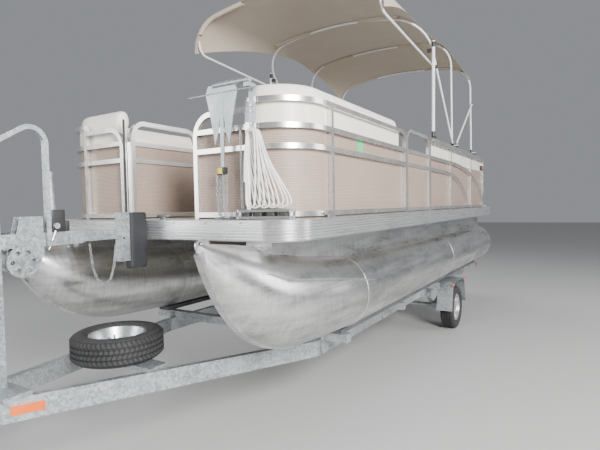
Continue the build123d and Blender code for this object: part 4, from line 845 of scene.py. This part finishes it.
def pad(name, low, high, radius, crown, axis, cuts=22):
    middle, half = (low + high) / 2, (high - low) / 2
    shape = bmesh.new()
    bmesh.ops.create_cube(shape, size=2)
    bmesh.ops.subdivide_edges(shape, edges=shape.edges, cuts=cuts, use_grid_fill=True)
    inner = [max(side - radius, 0.0) for side in half]
    for vert in shape.verts:
        share = vert.co.copy()
        full = Vector([share[k] * half[k] for k in range(3)])
        core = Vector([max(-inner[k], min(inner[k], full[k])) for k in range(3)])
        out = full - core
        reach = min(radius, min(half))
        spot = core + (out.normalized() * reach if out.length > 1e-6 else out)
        others = [k for k in range(3) if k != axis]
        lift = crown * (1 - share[others[0]] ** 2) * (1 - share[others[1]] ** 2)
        if abs(share[axis]) > 0.99:
            spot[axis] += math.copysign(lift, share[axis])
        vert.co = middle + spot
    piece = makePiece(name, shape, creamVinyl, "helm_chair", "vinyl_cream", 60)
    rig.padded(piece, fill=0.8)
    return piece


creamVinyl = vinyl("seatVinyl", (0.86, 0.82, 0.74), (0.79, 0.745, 0.66))
pipingVinyl = plainPaint("weltVinyl", (0.66, 0.58, 0.47), (0.58, 0.50, 0.40), 0.45, 300.0, 0.0004)
cushions = []
for side, sign in (("port", 1), ("starboard", -1)):
    cushions.append(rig.replaces(bowBack(side, sign), "back_cushions"))
    cushions.append(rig.replaces(loungeSeat(side, sign), "seat_cushions"))
cushions.append(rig.replaces(aftBack(), "back_cushions"))
cushions.append(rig.replaces(aftSeat(), "seat_cushions"))
for piece in cushions:
    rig.padded(piece, fill=0.85)
print("lounge cushions made")

# Helm chair. Each part goes by its two corners from the seat's middle, then its roundness and crown
chair = {
    "middle": (-0.810, 4.480, 0.430),
    "seat": ((-0.215, -0.215, 0.004), (0.215, 0.145, 0.118), 0.05, 0.012),
    "back": ((-0.205, 0.142, 0.03), (0.205, 0.236, 0.515), 0.045, 0.010),
    "plate": ((-0.19, -0.19, -0.002), (0.19, 0.20, 0.014), 0.003),
    "bracket": ((-0.008, 0.035, -0.002), (0.008, 0.075, 0.22), 0.003),
    "bracketOut": 0.218,
    "arm": ((-0.024, -0.14, 0.20), (0.024, 0.15, 0.245), 0.02, 0.003),
    "armOut": 0.205,
}


def helmChair():
    x, station, height = chair["middle"]

    def fitted(part, out=0.0):
        low, high, *rest = chair[part]
        return [place(x + out + a, station + b, height + c) for a, b, c in (low, high)] + rest

    for part, axis in (("seat", 2), ("back", 1)):
        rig.replaces(pad(f"chair_{part}", *fitted(part), axis), "helm_chair")
    shape = bmesh.new()
    for sign in (1, -1):
        addBox(shape, *fitted("bracket", sign * chair["bracketOut"]))
    addBox(shape, *fitted("plate"))
    makePiece("chair_frame", shape, plasticFinish, "helm_chair", "black_plastic")
    for side, sign in (("port", 1), ("starboard", -1)):
        pad(f"chair_arm_{side}", *fitted("arm", sign * chair["armOut"]), 2, 12)


helmChair()
print("helm chair made")

# Canopy: one arched cloth over the hoops, with hems and sleeves
canopy = {
    "half": 1.182,
    "lift": 0.0215,
    "corner": 0.3715,
    "radius": 5.0215,
    "crowns": ((1.820, 2.350), (3.100, 2.365), (4.500, 2.440), (5.680, 2.360)),
    "hems": ((1.820, 1.900), (3.900, 2.290), (5.680, 2.050)),
    "dip": 0.010,
    "cloth": 0.0012,
    "flat": (2.87, 3.88),
    "area": 8.9,
    "hem": 0.028,
    "hoops": (1.850, 3.100, 4.500, 5.650),
    "sleeve": {"half": 0.026, "deep": 0.034, "first": 0.34, "span": 0.5, "cloth": 0.0008},
}


def hemHeight(station):
    (y0, z0), (y1, z1), (y2, z2) = canopy["hems"]
    near = (station - y1) * (station - y2) / ((y0 - y1) * (y0 - y2)) * z0
    middle = (station - y0) * (station - y2) / ((y1 - y0) * (y1 - y2)) * z1
    return near + middle + (station - y0) * (station - y1) / ((y2 - y0) * (y2 - y1)) * z2


def crownHeight(station):
    for (y0, z0), (y1, z1) in zip(canopy["crowns"], canopy["crowns"][1:]):
        if station <= y1 + 1e-6:
            share = (station - y0) / (y1 - y0)
            return z0 + (z1 - z0) * share - canopy["dip"] * math.sin(math.pi * share)
    return canopy["crowns"][-1][1]


def archPoint(share, station, under=0.0):
    half, corner = canopy["half"] - under, canopy["corner"] - under
    radius = canopy["radius"] - under
    crown = crownHeight(station) + canopy["lift"] - under
    cornerX = half - corner
    cornerZ = crown - radius + math.sqrt((radius - corner) ** 2 - cornerX**2)
    knee = math.atan2(cornerZ - crown + radius, cornerX)
    low = hemHeight(station)
    leg = max(0.0, cornerZ - low)
    skipped = max(0.0, math.asin(max(-1.0, min(1.0, (low - cornerZ) / corner)))) if low > cornerZ else 0.0
    runs = (leg, corner * (knee - skipped), radius * (math.pi / 2 - knee))
    at = (1 - abs(share)) * sum(runs)
    if at < runs[0]:
        x, z = half, low + at
    elif at < runs[0] + runs[1]:
        turn = skipped + (at - runs[0]) / corner
        x, z = cornerX + corner * math.cos(turn), cornerZ + corner * math.sin(turn)
    else:
        turn = knee + (at - runs[0] - runs[1]) / radius
        x, z = radius * math.cos(turn), crown - radius + radius * math.sin(turn)
    return Vector((math.copysign(x, share), station, z))


def clothFinish(name, colour, shade):
    make = Finish(name)
    spot = make.spot()
    x, y = make.axes(spot)[:2]
    warp, weft = (x * 2600.0).sine(), (y * 2600.0).sine()
    cloud = make.noise(spot, 3.0, 4.0, 0.6)
    fibre = make.noise(spot, 700.0, 3.0, 0.6)
    return make.surface(
        Base_Color=make.ramp(cloud * 0.6 + fibre * 0.4, (0.3, shade), (0.7, colour)),
        Roughness=0.8 + 0.1 * fibre,
        Normal=make.bump(warp * weft * 0.5 + fibre, 0.0006, 0.5),
        Sheen_Weight=0.2,
    )


canopyCloth = clothFinish("canopyWeave", (0.50, 0.425, 0.345), (0.44, 0.37, 0.295))
canopyTrim = clothFinish("canopyTrim", (0.42, 0.35, 0.28), (0.36, 0.30, 0.24))


def makeCanopy():
    first, last = canopy["crowns"][0][0], canopy["crowns"][-1][0]
    wide, sleeve = canopy["hem"], canopy["sleeve"]

    def clothAt(u, v):
        return place(*archPoint(2 * u - 1, first + v * (last - first)))

    cloth = mapped("canopy", 120, 130, clothAt, canopyCloth, "canvas", canopy["cloth"])
    trims = []
    for index, station in enumerate((first + wide / 2, last - wide / 2)):
        def edgeAt(u, v):
            return place(*archPoint(2 * u - 1, station + (v - 0.5) * wide, 0.0022))

        trims.append(mapped(f"canopy_hem_{index}", 120, 2, edgeAt, canopyTrim, "canvas", 0.001))
    # Sleeves round the tubes at both ends of each hoop, open in the middle
    for index, station in enumerate(canopy["hoops"]):
        for side, sign in (("port", 1), ("starboard", -1)):
            def sleeveAt(u, v):
                across, deep = math.cos(math.pi * u), math.sin(math.pi * u)
                share = sign * (sleeve["first"] + sleeve["span"] * v)
                return place(
                    *archPoint(share, station + sleeve["half"] * across, 0.0035 + sleeve["deep"] * deep)
                )

            name = f"canopy_sleeve_{index}_{side}"
            trims.append(mapped(name, 14, 60, sleeveAt, canopyCloth, "canvas", sleeve["cloth"]))
    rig.replaces(cloth, "bimini_canvas")
    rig.sheet(
        cloth, flat=canopy["flat"], held="stretched", rests_on=["bimini_frame"], area=canopy["area"],
        with_pieces=trims,
    )


makeCanopy()
print("canopy made")


# Rope: three laid strands that follow one smooth spline
def smoothRoute(points):
    curve = bpy.data.curves.new("route", "CURVE")
    curve.dimensions = "3D"
    spline = curve.splines.new("NURBS")
    spline.points.add(len(points) - 1)
    for knot, spot in zip(spline.points, points):
        knot.co = (*spot, 1)
    spline.order_u = 3
    spline.use_endpoint_u = True
    curve.resolution_u = 16
    holder = bpy.data.objects.new("route", curve)
    mesh = bpy.data.meshes.new_from_object(holder)
    line = [vert.co.copy() for vert in mesh.vertices]
    bpy.data.objects.remove(holder)
    bpy.data.meshes.remove(mesh)
    return line


def evenLine(line, step):
    lengths = [0.0]
    for a, b in zip(line, line[1:]):
        lengths.append(lengths[-1] + (b - a).length)
    count = max(2, int(lengths[-1] / step))
    even, index = [], 0
    for k in range(count + 1):
        at = lengths[-1] * k / count
        while index < len(line) - 2 and lengths[index + 1] < at:
            index += 1
        part = (at - lengths[index]) / max(1e-9, lengths[index + 1] - lengths[index])
        even.append(line[index].lerp(line[index + 1], min(1.0, part)))
    return even, lengths[-1]


def laidRope(name, points):
    line, length = evenLine(smoothRoute(points), hank["step"])
    frames = []
    side = Vector((1, 0, 0.2))
    for k, spot in enumerate(line):
        ahead = (line[min(k + 1, len(line) - 1)] - line[max(k - 1, 0)]).normalized()
        side = (side - side.dot(ahead) * ahead).normalized()
        frames.append((spot, side.copy(), ahead.cross(side)))
    shape = bmesh.new()
    for strand in range(3):
        def pointAt(u, v):
            spot, out, over = frames[round(v * (len(line) - 1))]
            lay = 2 * math.pi * (v * length / hank["pitch"] + strand / 3)
            ring = 2 * math.pi * u
            away = hank["offset"] * math.cos(lay) + hank["strand"] * math.cos(ring)
            above = hank["offset"] * math.sin(lay) + hank["strand"] * math.sin(ring)
            return spot + out * away + over * above

        addGrid(shape, 6, len(line) - 1, pointAt)
    bmesh.ops.remove_doubles(shape, verts=shape.verts, dist=0.00002)
    return makePiece(name, shape, ropeFinish, slot="rope_white", sharp=80), line, length


ropeFinish = plainPaint("whiteRope", (0.86, 0.85, 0.82), (0.70, 0.68, 0.64), 0.75, 900.0, 0.0006)
hank = {
    "diameter": 0.0125,
    "strand": 0.0033,
    "offset": 0.0031,
    "pitch": 0.040,
    "step": 0.005,
    "hook": (0.968, 0.090, 0.535),
    "fold": 0.033,
    "layer": 0.0125,
    "gap": 0.0068,
    "sag": 0.03,
    "span": 0.18,
    "loops": (
        # bottom's middle, half width, height of its lowest point
        (1.160, 0.132, 0.058, 0.078),
        (1.132, 0.124, 0.064, 0.070),
        (1.104, 0.116, 0.066, 0.080),
        (1.076, 0.108, 0.060, 0.071),
        (1.050, 0.100, 0.054, 0.079),
        (1.024, 0.090, 0.050, 0.071),
        (0.998, 0.076, 0.046, 0.080),
        (0.974, 0.060, 0.042, 0.072),
        (0.950, 0.044, 0.036, 0.076),
    ),
    "tail": ((0.936, 0.024, 0.47), (0.924, 0.024, 0.36), (0.920, 0.026, 0.24)),
}


def hankRoute():
    hookX, hookY, hookZ = hank["hook"]
    points = [place(hookX - hank["fold"], hookY + 0.004, hookZ - 0.05)]
    for index, (lowX, lowY, half, low) in enumerate(hank["loops"]):
        back = hookY - index * hank["gap"]
        drift = lowY - (hookY - (index + 0.5) * hank["gap"])
        fold = hank["fold"] + index % 2 * hank["layer"]
        lowZ = low + half
        turns = [(k, 0) for k in (155, 120, 60, 25)] + [(0, share) for share in (0.22, 0.5, 0.78)]
        turns += [(k, 1) for k in (-25, -65, -115, -155)] + [(180, share) for share in (0.78, 0.5, 0.22)]
        for step, (turn, share) in enumerate(turns):
            wide = fold + (half - fold) * share
            middle = Vector((hookX, 0, hookZ)).lerp(Vector((lowX, 0, lowZ)), share)
            sag = -hank["sag"] * math.sin(math.pi * share) * (lowX - hookX) / hank["span"]
            x = middle.x + sag + wide * math.cos(math.radians(turn))
            z = middle.z + wide * math.sin(math.radians(turn))
            points.append(place(x, back - hank["gap"] * step / len(turns) + drift * share, z))
    return points + [place(*spot) for spot in hank["tail"]]


rope, ropeLine, ropeLength = laidRope("rope_hank_line", hankRoute())
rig.replaces(rope, "rope_hank")
print("rope length", round(ropeLength, 3))
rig.cord(
    rope, exit=ropeLine[0], length=ropeLength, diameter=hank["diameter"], far_end="bare",
    stiffness="limp", lay="coiled", path=ropeLine,
)

blackPart = plainPaint("fittingNylon", (0.035, 0.035, 0.036), (0.02, 0.02, 0.021), 0.38)
boltMetal = satinMetal("boltSteel", (0.62, 0.63, 0.64), (0.42, 0.43, 0.44), 0.25)

# The anchor's lead hangs under its tag in four falls, and its end lies on the deck
lead = {
    "falls": ((0.660, 0.062, 0.004), (0.675, 0.078, -0.004), (0.714, 0.062, 0.006), (0.730, 0.078, -0.004)),
    "lying": (
        (
            (0.655, 0.050, 0.012), (0.690, 0.082, 0.010), (0.725, 0.048, 0.014), (0.760, 0.085, 0.010),
            (0.795, 0.056, 0.010),
        ),
        ((0.668, 0.092, 0.010), (0.702, 0.056, 0.016), (0.742, 0.088, 0.016), (0.780, 0.062, 0.018)),
    ),
    "pitch": 0.0205,
    "long": 0.0125,
    "wide": 0.0062,
    "wire": 0.0021,
}


def addLink(shape, spot, along, across):
    over = along.cross(across)

    def pointAt(u, v):
        turn, ring = 2 * math.pi * u, 2 * math.pi * v
        middle = along * (lead["long"] * math.cos(turn)) + across * (lead["wide"] * math.sin(turn))
        out = (along * math.cos(turn) + across * (2 * math.sin(turn))).normalized()
        return spot + middle + out * (lead["wire"] * math.cos(ring)) + over * (lead["wire"] * math.sin(ring))

    addGrid(shape, 10, 5, pointAt)


def chainHank():
    falls = [((x, y, 0.298), (x - 0.003, y, 0.17), (x + lean, y, 0.040)) for x, y, lean in lead["falls"]]
    shape = bmesh.new()
    for fall in (*falls, *lead["lying"]):
        line = evenLine(smoothRoute([place(*spot) for spot in fall]), lead["pitch"])[0]
        for k, spot in enumerate(line):
            along = (line[min(k + 1, len(line) - 1)] - line[max(k - 1, 0)]).normalized()
            side = along.cross(Vector((0.3, 1, 0.2))).normalized()
            addLink(shape, spot, along, side if k % 2 else along.cross(side))
    bmesh.ops.remove_doubles(shape, verts=shape.verts, dist=0.00001)
    makePiece("chain_hank", shape, zincFinish, slot="galvanized", sharp=80)


# Rubber stop at the bow: rounded ends, a dip in its head, a slimmer foot
bowStop = {"half": 0.0447, "station": -0.0805, "deep": 0.0742, "foot": -0.339, "tall": 0.3985, "dip": 0.014}


def bumperRubber():
    def bumperAt(u, v):
        turn = 2 * math.pi * u
        end = math.sqrt(1 - (1 - min(1.0, min(v, 1 - v) / 0.06)) ** 2)
        slim = (0.84 + 0.16 * min(1.0, v / 0.35)) * (0.82 + 0.18 * end)
        across, deep = math.cos(turn), math.sin(turn)
        x = bowStop["half"] * math.copysign(abs(across) ** 0.4, across) * slim
        reach = bowStop["deep"] * math.copysign(abs(deep) ** 0.4, deep) * (0.9 + 0.1 * end)
        dip = bowStop["dip"] * max(0.0, (v - 0.9) / 0.1) * math.exp(-((x / 0.014) ** 2))
        return place(x, bowStop["station"] + reach, bowStop["foot"] + bowStop["tall"] * v - dip)

    rubber = plainPaint("stopRubber", (0.022, 0.023, 0.026), (0.012, 0.012, 0.014), 0.62, 60.0, 0.001)
    stop = mapped("bumper_rubber", 64, 60, bumperAt, rubber, "black_rubber", capped=True)
    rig.replaces(stop, "bow_bumper")


screws = {
    "side": 1.2955,
    "stations": [0.36 + 0.30 * k for k in range(21)],
    "bow": [-0.9 + 0.30 * k for k in range(7)],
    "bowStation": 0.0005,
    "height": -0.021,
    "radius": 0.0065,
    "flat": 0.35,
}


def rubScrews():
    shape = bmesh.new()
    flat = screws["flat"]
    spots = [(sign * screws["side"], y, (flat, 1, 1, 1)) for sign in (1, -1) for y in screws["stations"]]
    spots += [(x, screws["bowStation"], (1, flat, 1, 1)) for x in screws["bow"]]
    for x, station, scale in spots:
        matrix = Matrix.Translation(place(x, station, screws["height"])) @ Matrix.Diagonal(scale)
        bmesh.ops.create_uvsphere(shape, u_segments=8, v_segments=6, radius=screws["radius"], matrix=matrix)
    makePiece("rub_rail_screws", shape, boltMetal, slot="stainless")


weld = {"x": 0.997, "height": -0.626, "stations": (1.100, 3.900, 6.588), "radius": 0.3052, "half": 0.007}


def weldBeads():
    shape = bmesh.new()
    for sign in (1, -1):
        for station in weld["stations"]:
            def pointAt(u, v):
                turn = 2 * math.pi * u
                ripple = 0.0006 * math.sin(turn * 300)
                lift = weld["radius"] + 0.0028 * math.sin(math.pi * v) + ripple
                return place(
                    sign * weld["x"] + lift * math.cos(turn), station + weld["half"] * (v - 0.5) * 2,
                    weld["height"] + lift * math.sin(turn),
                )

            addGrid(shape, 240, 5, pointAt)
    bmesh.ops.remove_doubles(shape, verts=shape.verts, dist=0.00005)
    bead = satinMetal("weldBead", (0.86, 0.86, 0.85), (0.66, 0.66, 0.65), 0.22)
    makePiece("weld_beads", shape, bead, slot="aluminium")


# Plain fittings: boxes by their two corners and roundness, rods by their ends, radius and sides
def addParts(shape, boxes=(), rods=(), signs=(1,)):
    for sign in signs:
        for (x0, *low), (x1, *high), roundness in boxes:
            near, far = sorted((sign * x0, sign * x1))
            addBox(shape, place(near, *low), place(far, *high), roundness)
        for (x0, *start), (x1, *end), radius, sides in rods:
            addRod(shape, place(sign * x0, *start), place(sign * x1, *end), radius, sides)


def fitting(name, look, slot=None, body="boat", **parts):
    shape = bmesh.new()
    addParts(shape, **parts)
    makePiece(name, shape, look, body, slot)


def ringOf(count, radius, middle, start=0.0):
    turns = [2 * math.pi * (k + start) / count for k in range(count)]
    return [(middle[0] + radius * math.cos(turn), middle[1] + radius * math.sin(turn)) for turn in turns]


bothSides = (1, -1)
rivetHeights = [0.06 + 0.031 * k for k in range(24)]
crossStations = (1.120, 2.500, 3.900, 5.260, 6.300)
fitting(
    "winch_housing", blackPart, "black_plastic",
    boxes=[
        ((-0.031, -0.712, -0.046), (0.031, -0.628, 0.088), 0.006),
        ((-0.029, -0.628, -0.046), (0.029, -0.600, 0.020), 0.005),
    ],
)
fitting(
    "winch_fittings", boltMetal, "galvanized",
    rods=[
        ((0.031, -0.690, -0.010), (0.045, -0.690, -0.010), 0.018, 16),
        ((0.040, -0.700, -0.040), (0.040, -0.745, -0.150), 0.008, 10),
        ((0, -0.704, 0.288), (0, -0.7065, 0.318), 0.025, 20),
        *(((0.0318, -0.174, z), (0.040, -0.174, z), 0.0075, 6) for z in (-0.245, 0.030)),
    ],
)
# The stop's bolt hole: a thin black disc as painted shade inside the hole
fitting(
    "stop_hole", blackPart,
    rods=[((0.0315, -0.205, -0.118), (0.0325, -0.205, -0.118), 0.0085, 16)],
)
# The bow gate's sheet runs down to its foot rail, and a dark hinge strip stands on its post
fitting(
    "gate_bow_skirt", panelPaint, "panel_taupe", "gate_bow",
    boxes=[((-0.3535, 0.2175, 0.0405), (-0.3475, 0.8935, 0.1198), 0)],
)
fitting(
    "gate_hinge_strip", blackPart, "black_plastic",
    boxes=[((-0.3823, 0.1365, 0.035), (-0.3797, 0.1580, 0.800), 0)],
    rods=[((-0.3799, 0.1475, z), (-0.3785, 0.1475, z), 0.004, 8) for z in rivetHeights],
)
fitting(
    "nav_light_housings", blackPart, "black_plastic", signs=bothSides,
    boxes=[((1.2268, 6.05, 0.625), (1.262, 6.115, 0.705), 0.006)],
)
fitting(
    "anchor_tag", plainPaint("tagYellow", (0.80, 0.66, 0.06), (0.62, 0.50, 0.04), 0.45),
    boxes=[((0.666, 0.056, 0.305), (0.708, 0.088, 0.345), 0.003)],
)
fitting(
    "anchor_tag_clip", blackPart, "black_plastic",
    boxes=[
        ((0.706, 0.058, 0.303), (0.735, 0.086, 0.348), 0.003),
        ((0.664, 0.054, 0.298), (0.710, 0.090, 0.306), 0.002),
    ],
)
fitting(
    "bracket_bolts", boltMetal, "stainless",
    rods=[((0.928, 0.1045, z), (0.928, 0.0975, z), 0.0085, 6) for z in (0.590, 0.620, 0.700, 0.735)],
)
fitting(
    "blank_sticker", plainPaint("blankGreen", (0.10, 0.55, 0.20), (0.07, 0.46, 0.16), 0.4),
    boxes=[((1.2266, 1.085, 0.505), (1.2274, 1.195, 0.592), 0)],
)
fitting(
    "spare_studs", boltMetal, "stainless",
    rods=[((x, y, -0.838), (x, y, -0.800), 0.0075, 8) for x, y in ringOf(5, 0.057, (0, -0.260), 0.3)],
)
fitting(
    "fender_lamps", amberFinish, "lamp_amber", signs=bothSides,
    boxes=[((1.2125, y - 0.032, -1.068), (1.224, y + 0.032, -1.036), 0.004) for y in (4.225, 4.935)],
)
fitting(
    "frame_plates", zincFinish, "galvanized", signs=bothSides,
    boxes=[((0.8865, y - 0.075, -1.165), (0.893, y + 0.075, -0.985), 0.0015) for y in crossStations],
)
fitting(
    "frame_bolts", boltMetal, "galvanized", signs=bothSides,
    rods=[
        ((0.892, y + out, z), (0.902, y + out, z), 0.009, 6)
        for y in crossStations for out in (-0.055, 0.055) for z in (-1.145, -1.06)
    ],
)

lensBox = ((1.258, 6.06, 0.645), (1.267, 6.105, 0.685), 0.003)
nuts = [((1.118, y, z), (1.142, y, z), 0.0105, 6) for y, z in ringOf(5, 0.078, (wheelStation, -1.425))]
for side, sign, colour, slot in (
    ("port", 1, (0.55, 0.02, 0.02), "lamp_red"),
    ("starboard", -1, (0.01, 0.32, 0.10), None),
):
    lens = plainPaint(f"navLens{side.title()}", colour, tuple(0.7 * part for part in colour), 0.12)
    fitting(f"nav_lens_{side}", lens, slot, signs=(sign,), boxes=[lensBox])
    fitting(f"wheel_nuts_{side}", boltMetal, "stainless", f"wheel_{side}", signs=(sign,), rods=nuts)

canopyEnds = {
    "sleeves": (
        # across, foot, head, where along them the sleeve starts and stops, radius
        (1.193, (3.370, 0.875), (3.410, 2.040), 0.0, 0.075, 0.0215),
        (1.193, (3.370, 0.875), (3.410, 2.040), 1.09, 1.155, 0.0215),
        (1.1605, (4.500, 0.884), (3.100, 2.365), 0.0, 0.06, 0.0155),
        (1.1345, (4.540, 0.900), (4.500, 2.440), 0.0, 0.06, 0.0155),
        (1.1605, (5.700, 0.884), (5.650, 2.360), 0.0, 0.06, 0.0155),
        (1.1865, (4.530, 0.892), (5.690, 1.700), 0.0, 0.05, 0.0150),
        (1.1865, (4.530, 0.892), (5.690, 1.700), 1.36, 1.405, 0.0150),
    ),
    "blocks": [
        *(((1.1725, y - 0.0215, 0.8525), (1.2275, y + 0.0215, 0.8895), 0.004) for y in (3.370, 4.500, 5.700)),
        *(
            ((1.120, y - 0.02, z - 0.02), (1.176, y + 0.02, z + 0.02), 0.005)
            for y, z in ((3.630, 1.790), (3.405, 1.93))
        ),
    ],
}


def canopyFittings():
    shape = bmesh.new()
    for sign in bothSides:
        for x, foot, head, first, last, radius in canopyEnds["sleeves"]:
            start, end = place(sign * x, *foot), place(sign * x, *head)
            ahead = (end - start).normalized()
            addRod(shape, start + ahead * first, start + ahead * last, radius, 14)
    addParts(shape, canopyEnds["blocks"], signs=bothSides)
    makePiece("canopy_fittings", shape, blackPart, slot="black_plastic")


dash = {
    "dials": [(x, 3.640, 0.805) for x in (-1.060, -0.600)],
    "tilt": Vector((0, 0.447, 0.894)),
    "bezel": 0.042,
    "face": 0.036,
    "throttle": {
        "boxes": [((-1.125, 3.50, 0.862), (-1.055, 3.60, 0.915), 0.008)],
        "rods": [
            ((-1.09, 3.55, 0.91), (-1.09, 3.52, 1.03), 0.008, 12),
            ((-1.115, 3.52, 1.03), (-1.065, 3.52, 1.03), 0.014, 12),
        ],
    },
}


def consoleDetails():
    tilt = dash["tilt"]
    dials, bezels = bmesh.new(), bmesh.new()
    for spot in (place(*dial) for dial in dash["dials"]):
        addRod(bezels, spot - tilt * 0.02, spot + tilt * 0.012, dash["bezel"], 24)
        addRod(dials, spot - tilt * 0.02, spot + tilt * 0.0135, dash["face"], 24)
    addParts(bezels, **dash["throttle"])
    makePiece("console_bezels", bezels, blackPart, slot="black_plastic")
    face = plainPaint("dialFace", (0.75, 0.75, 0.72), (0.62, 0.62, 0.60), 0.1)
    makePiece("console_dials", dials, face)


chainHank()
bumperRubber()
rubScrews()
weldBeads()
canopyFittings()
consoleDetails()
print("small fittings made")


# Floor and studio light
studio = {
    # name: place, aims at, size, power
    "key": ((7.5, -6.5, 4.6), (0.9, -1.8, 1.6), 3.2, 2000),
    "fill": ((9.0, 3.0, 4.0), (0.9, 1.0, 1.4), 5.0, 380),
    "back": ((-6.0, 5.0, 7.0), (0.0, 0.0, 2.0), 6.0, 420),
    "bow": ((-4.5, -8.5, 3.4), (-0.3, -2.4, 1.4), 4.0, 300),
}
room = {"floor": (0.50, 0.50, 0.49), "half": 40, "sky": (0.82, 0.85, 0.9, 1), "glow": 0.34}


def addFloor():
    mesh = bpy.data.meshes.new("floor")
    shape = bmesh.new()
    bmesh.ops.create_grid(shape, x_segments=1, y_segments=1, size=room["half"])
    shape.to_mesh(mesh)
    shape.free()
    floor = bpy.data.objects.new("floor", mesh)
    bpy.context.scene.collection.objects.link(floor)
    mesh.materials.append(Finish("floorPaint").surface(Base_Color=room["floor"], Roughness=0.7))
    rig.stage(floor)


addFloor()
for name, (spot, aim, size, power) in studio.items():
    lamp = bpy.data.lights.new(name, "AREA")
    lamp.shape = "DISK"
    lamp.size = size
    lamp.energy = power
    light = bpy.data.objects.new(name, lamp)
    bpy.context.scene.collection.objects.link(light)
    turned = (Vector(aim) - Vector(spot)).to_track_quat("-Z", "Y").to_matrix().to_4x4()
    light.matrix_world = Matrix.Translation(Vector(spot)) @ turned
world = bpy.data.worlds.new("studio")
world.use_nodes = True
world.node_tree.nodes["Background"].inputs["Color"].default_value = room["sky"]
world.node_tree.nodes["Background"].inputs["Strength"].default_value = room["glow"]
bpy.context.scene.world = world
print("floor and lights made")

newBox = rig.bounds()
with open("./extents.json", "w") as file:
    boxes = {"cad": cadBox, "visual": newBox}
    json.dump({name: [list(corner) for corner in box] for name, box in boxes.items()}, file)
print("sizes written")
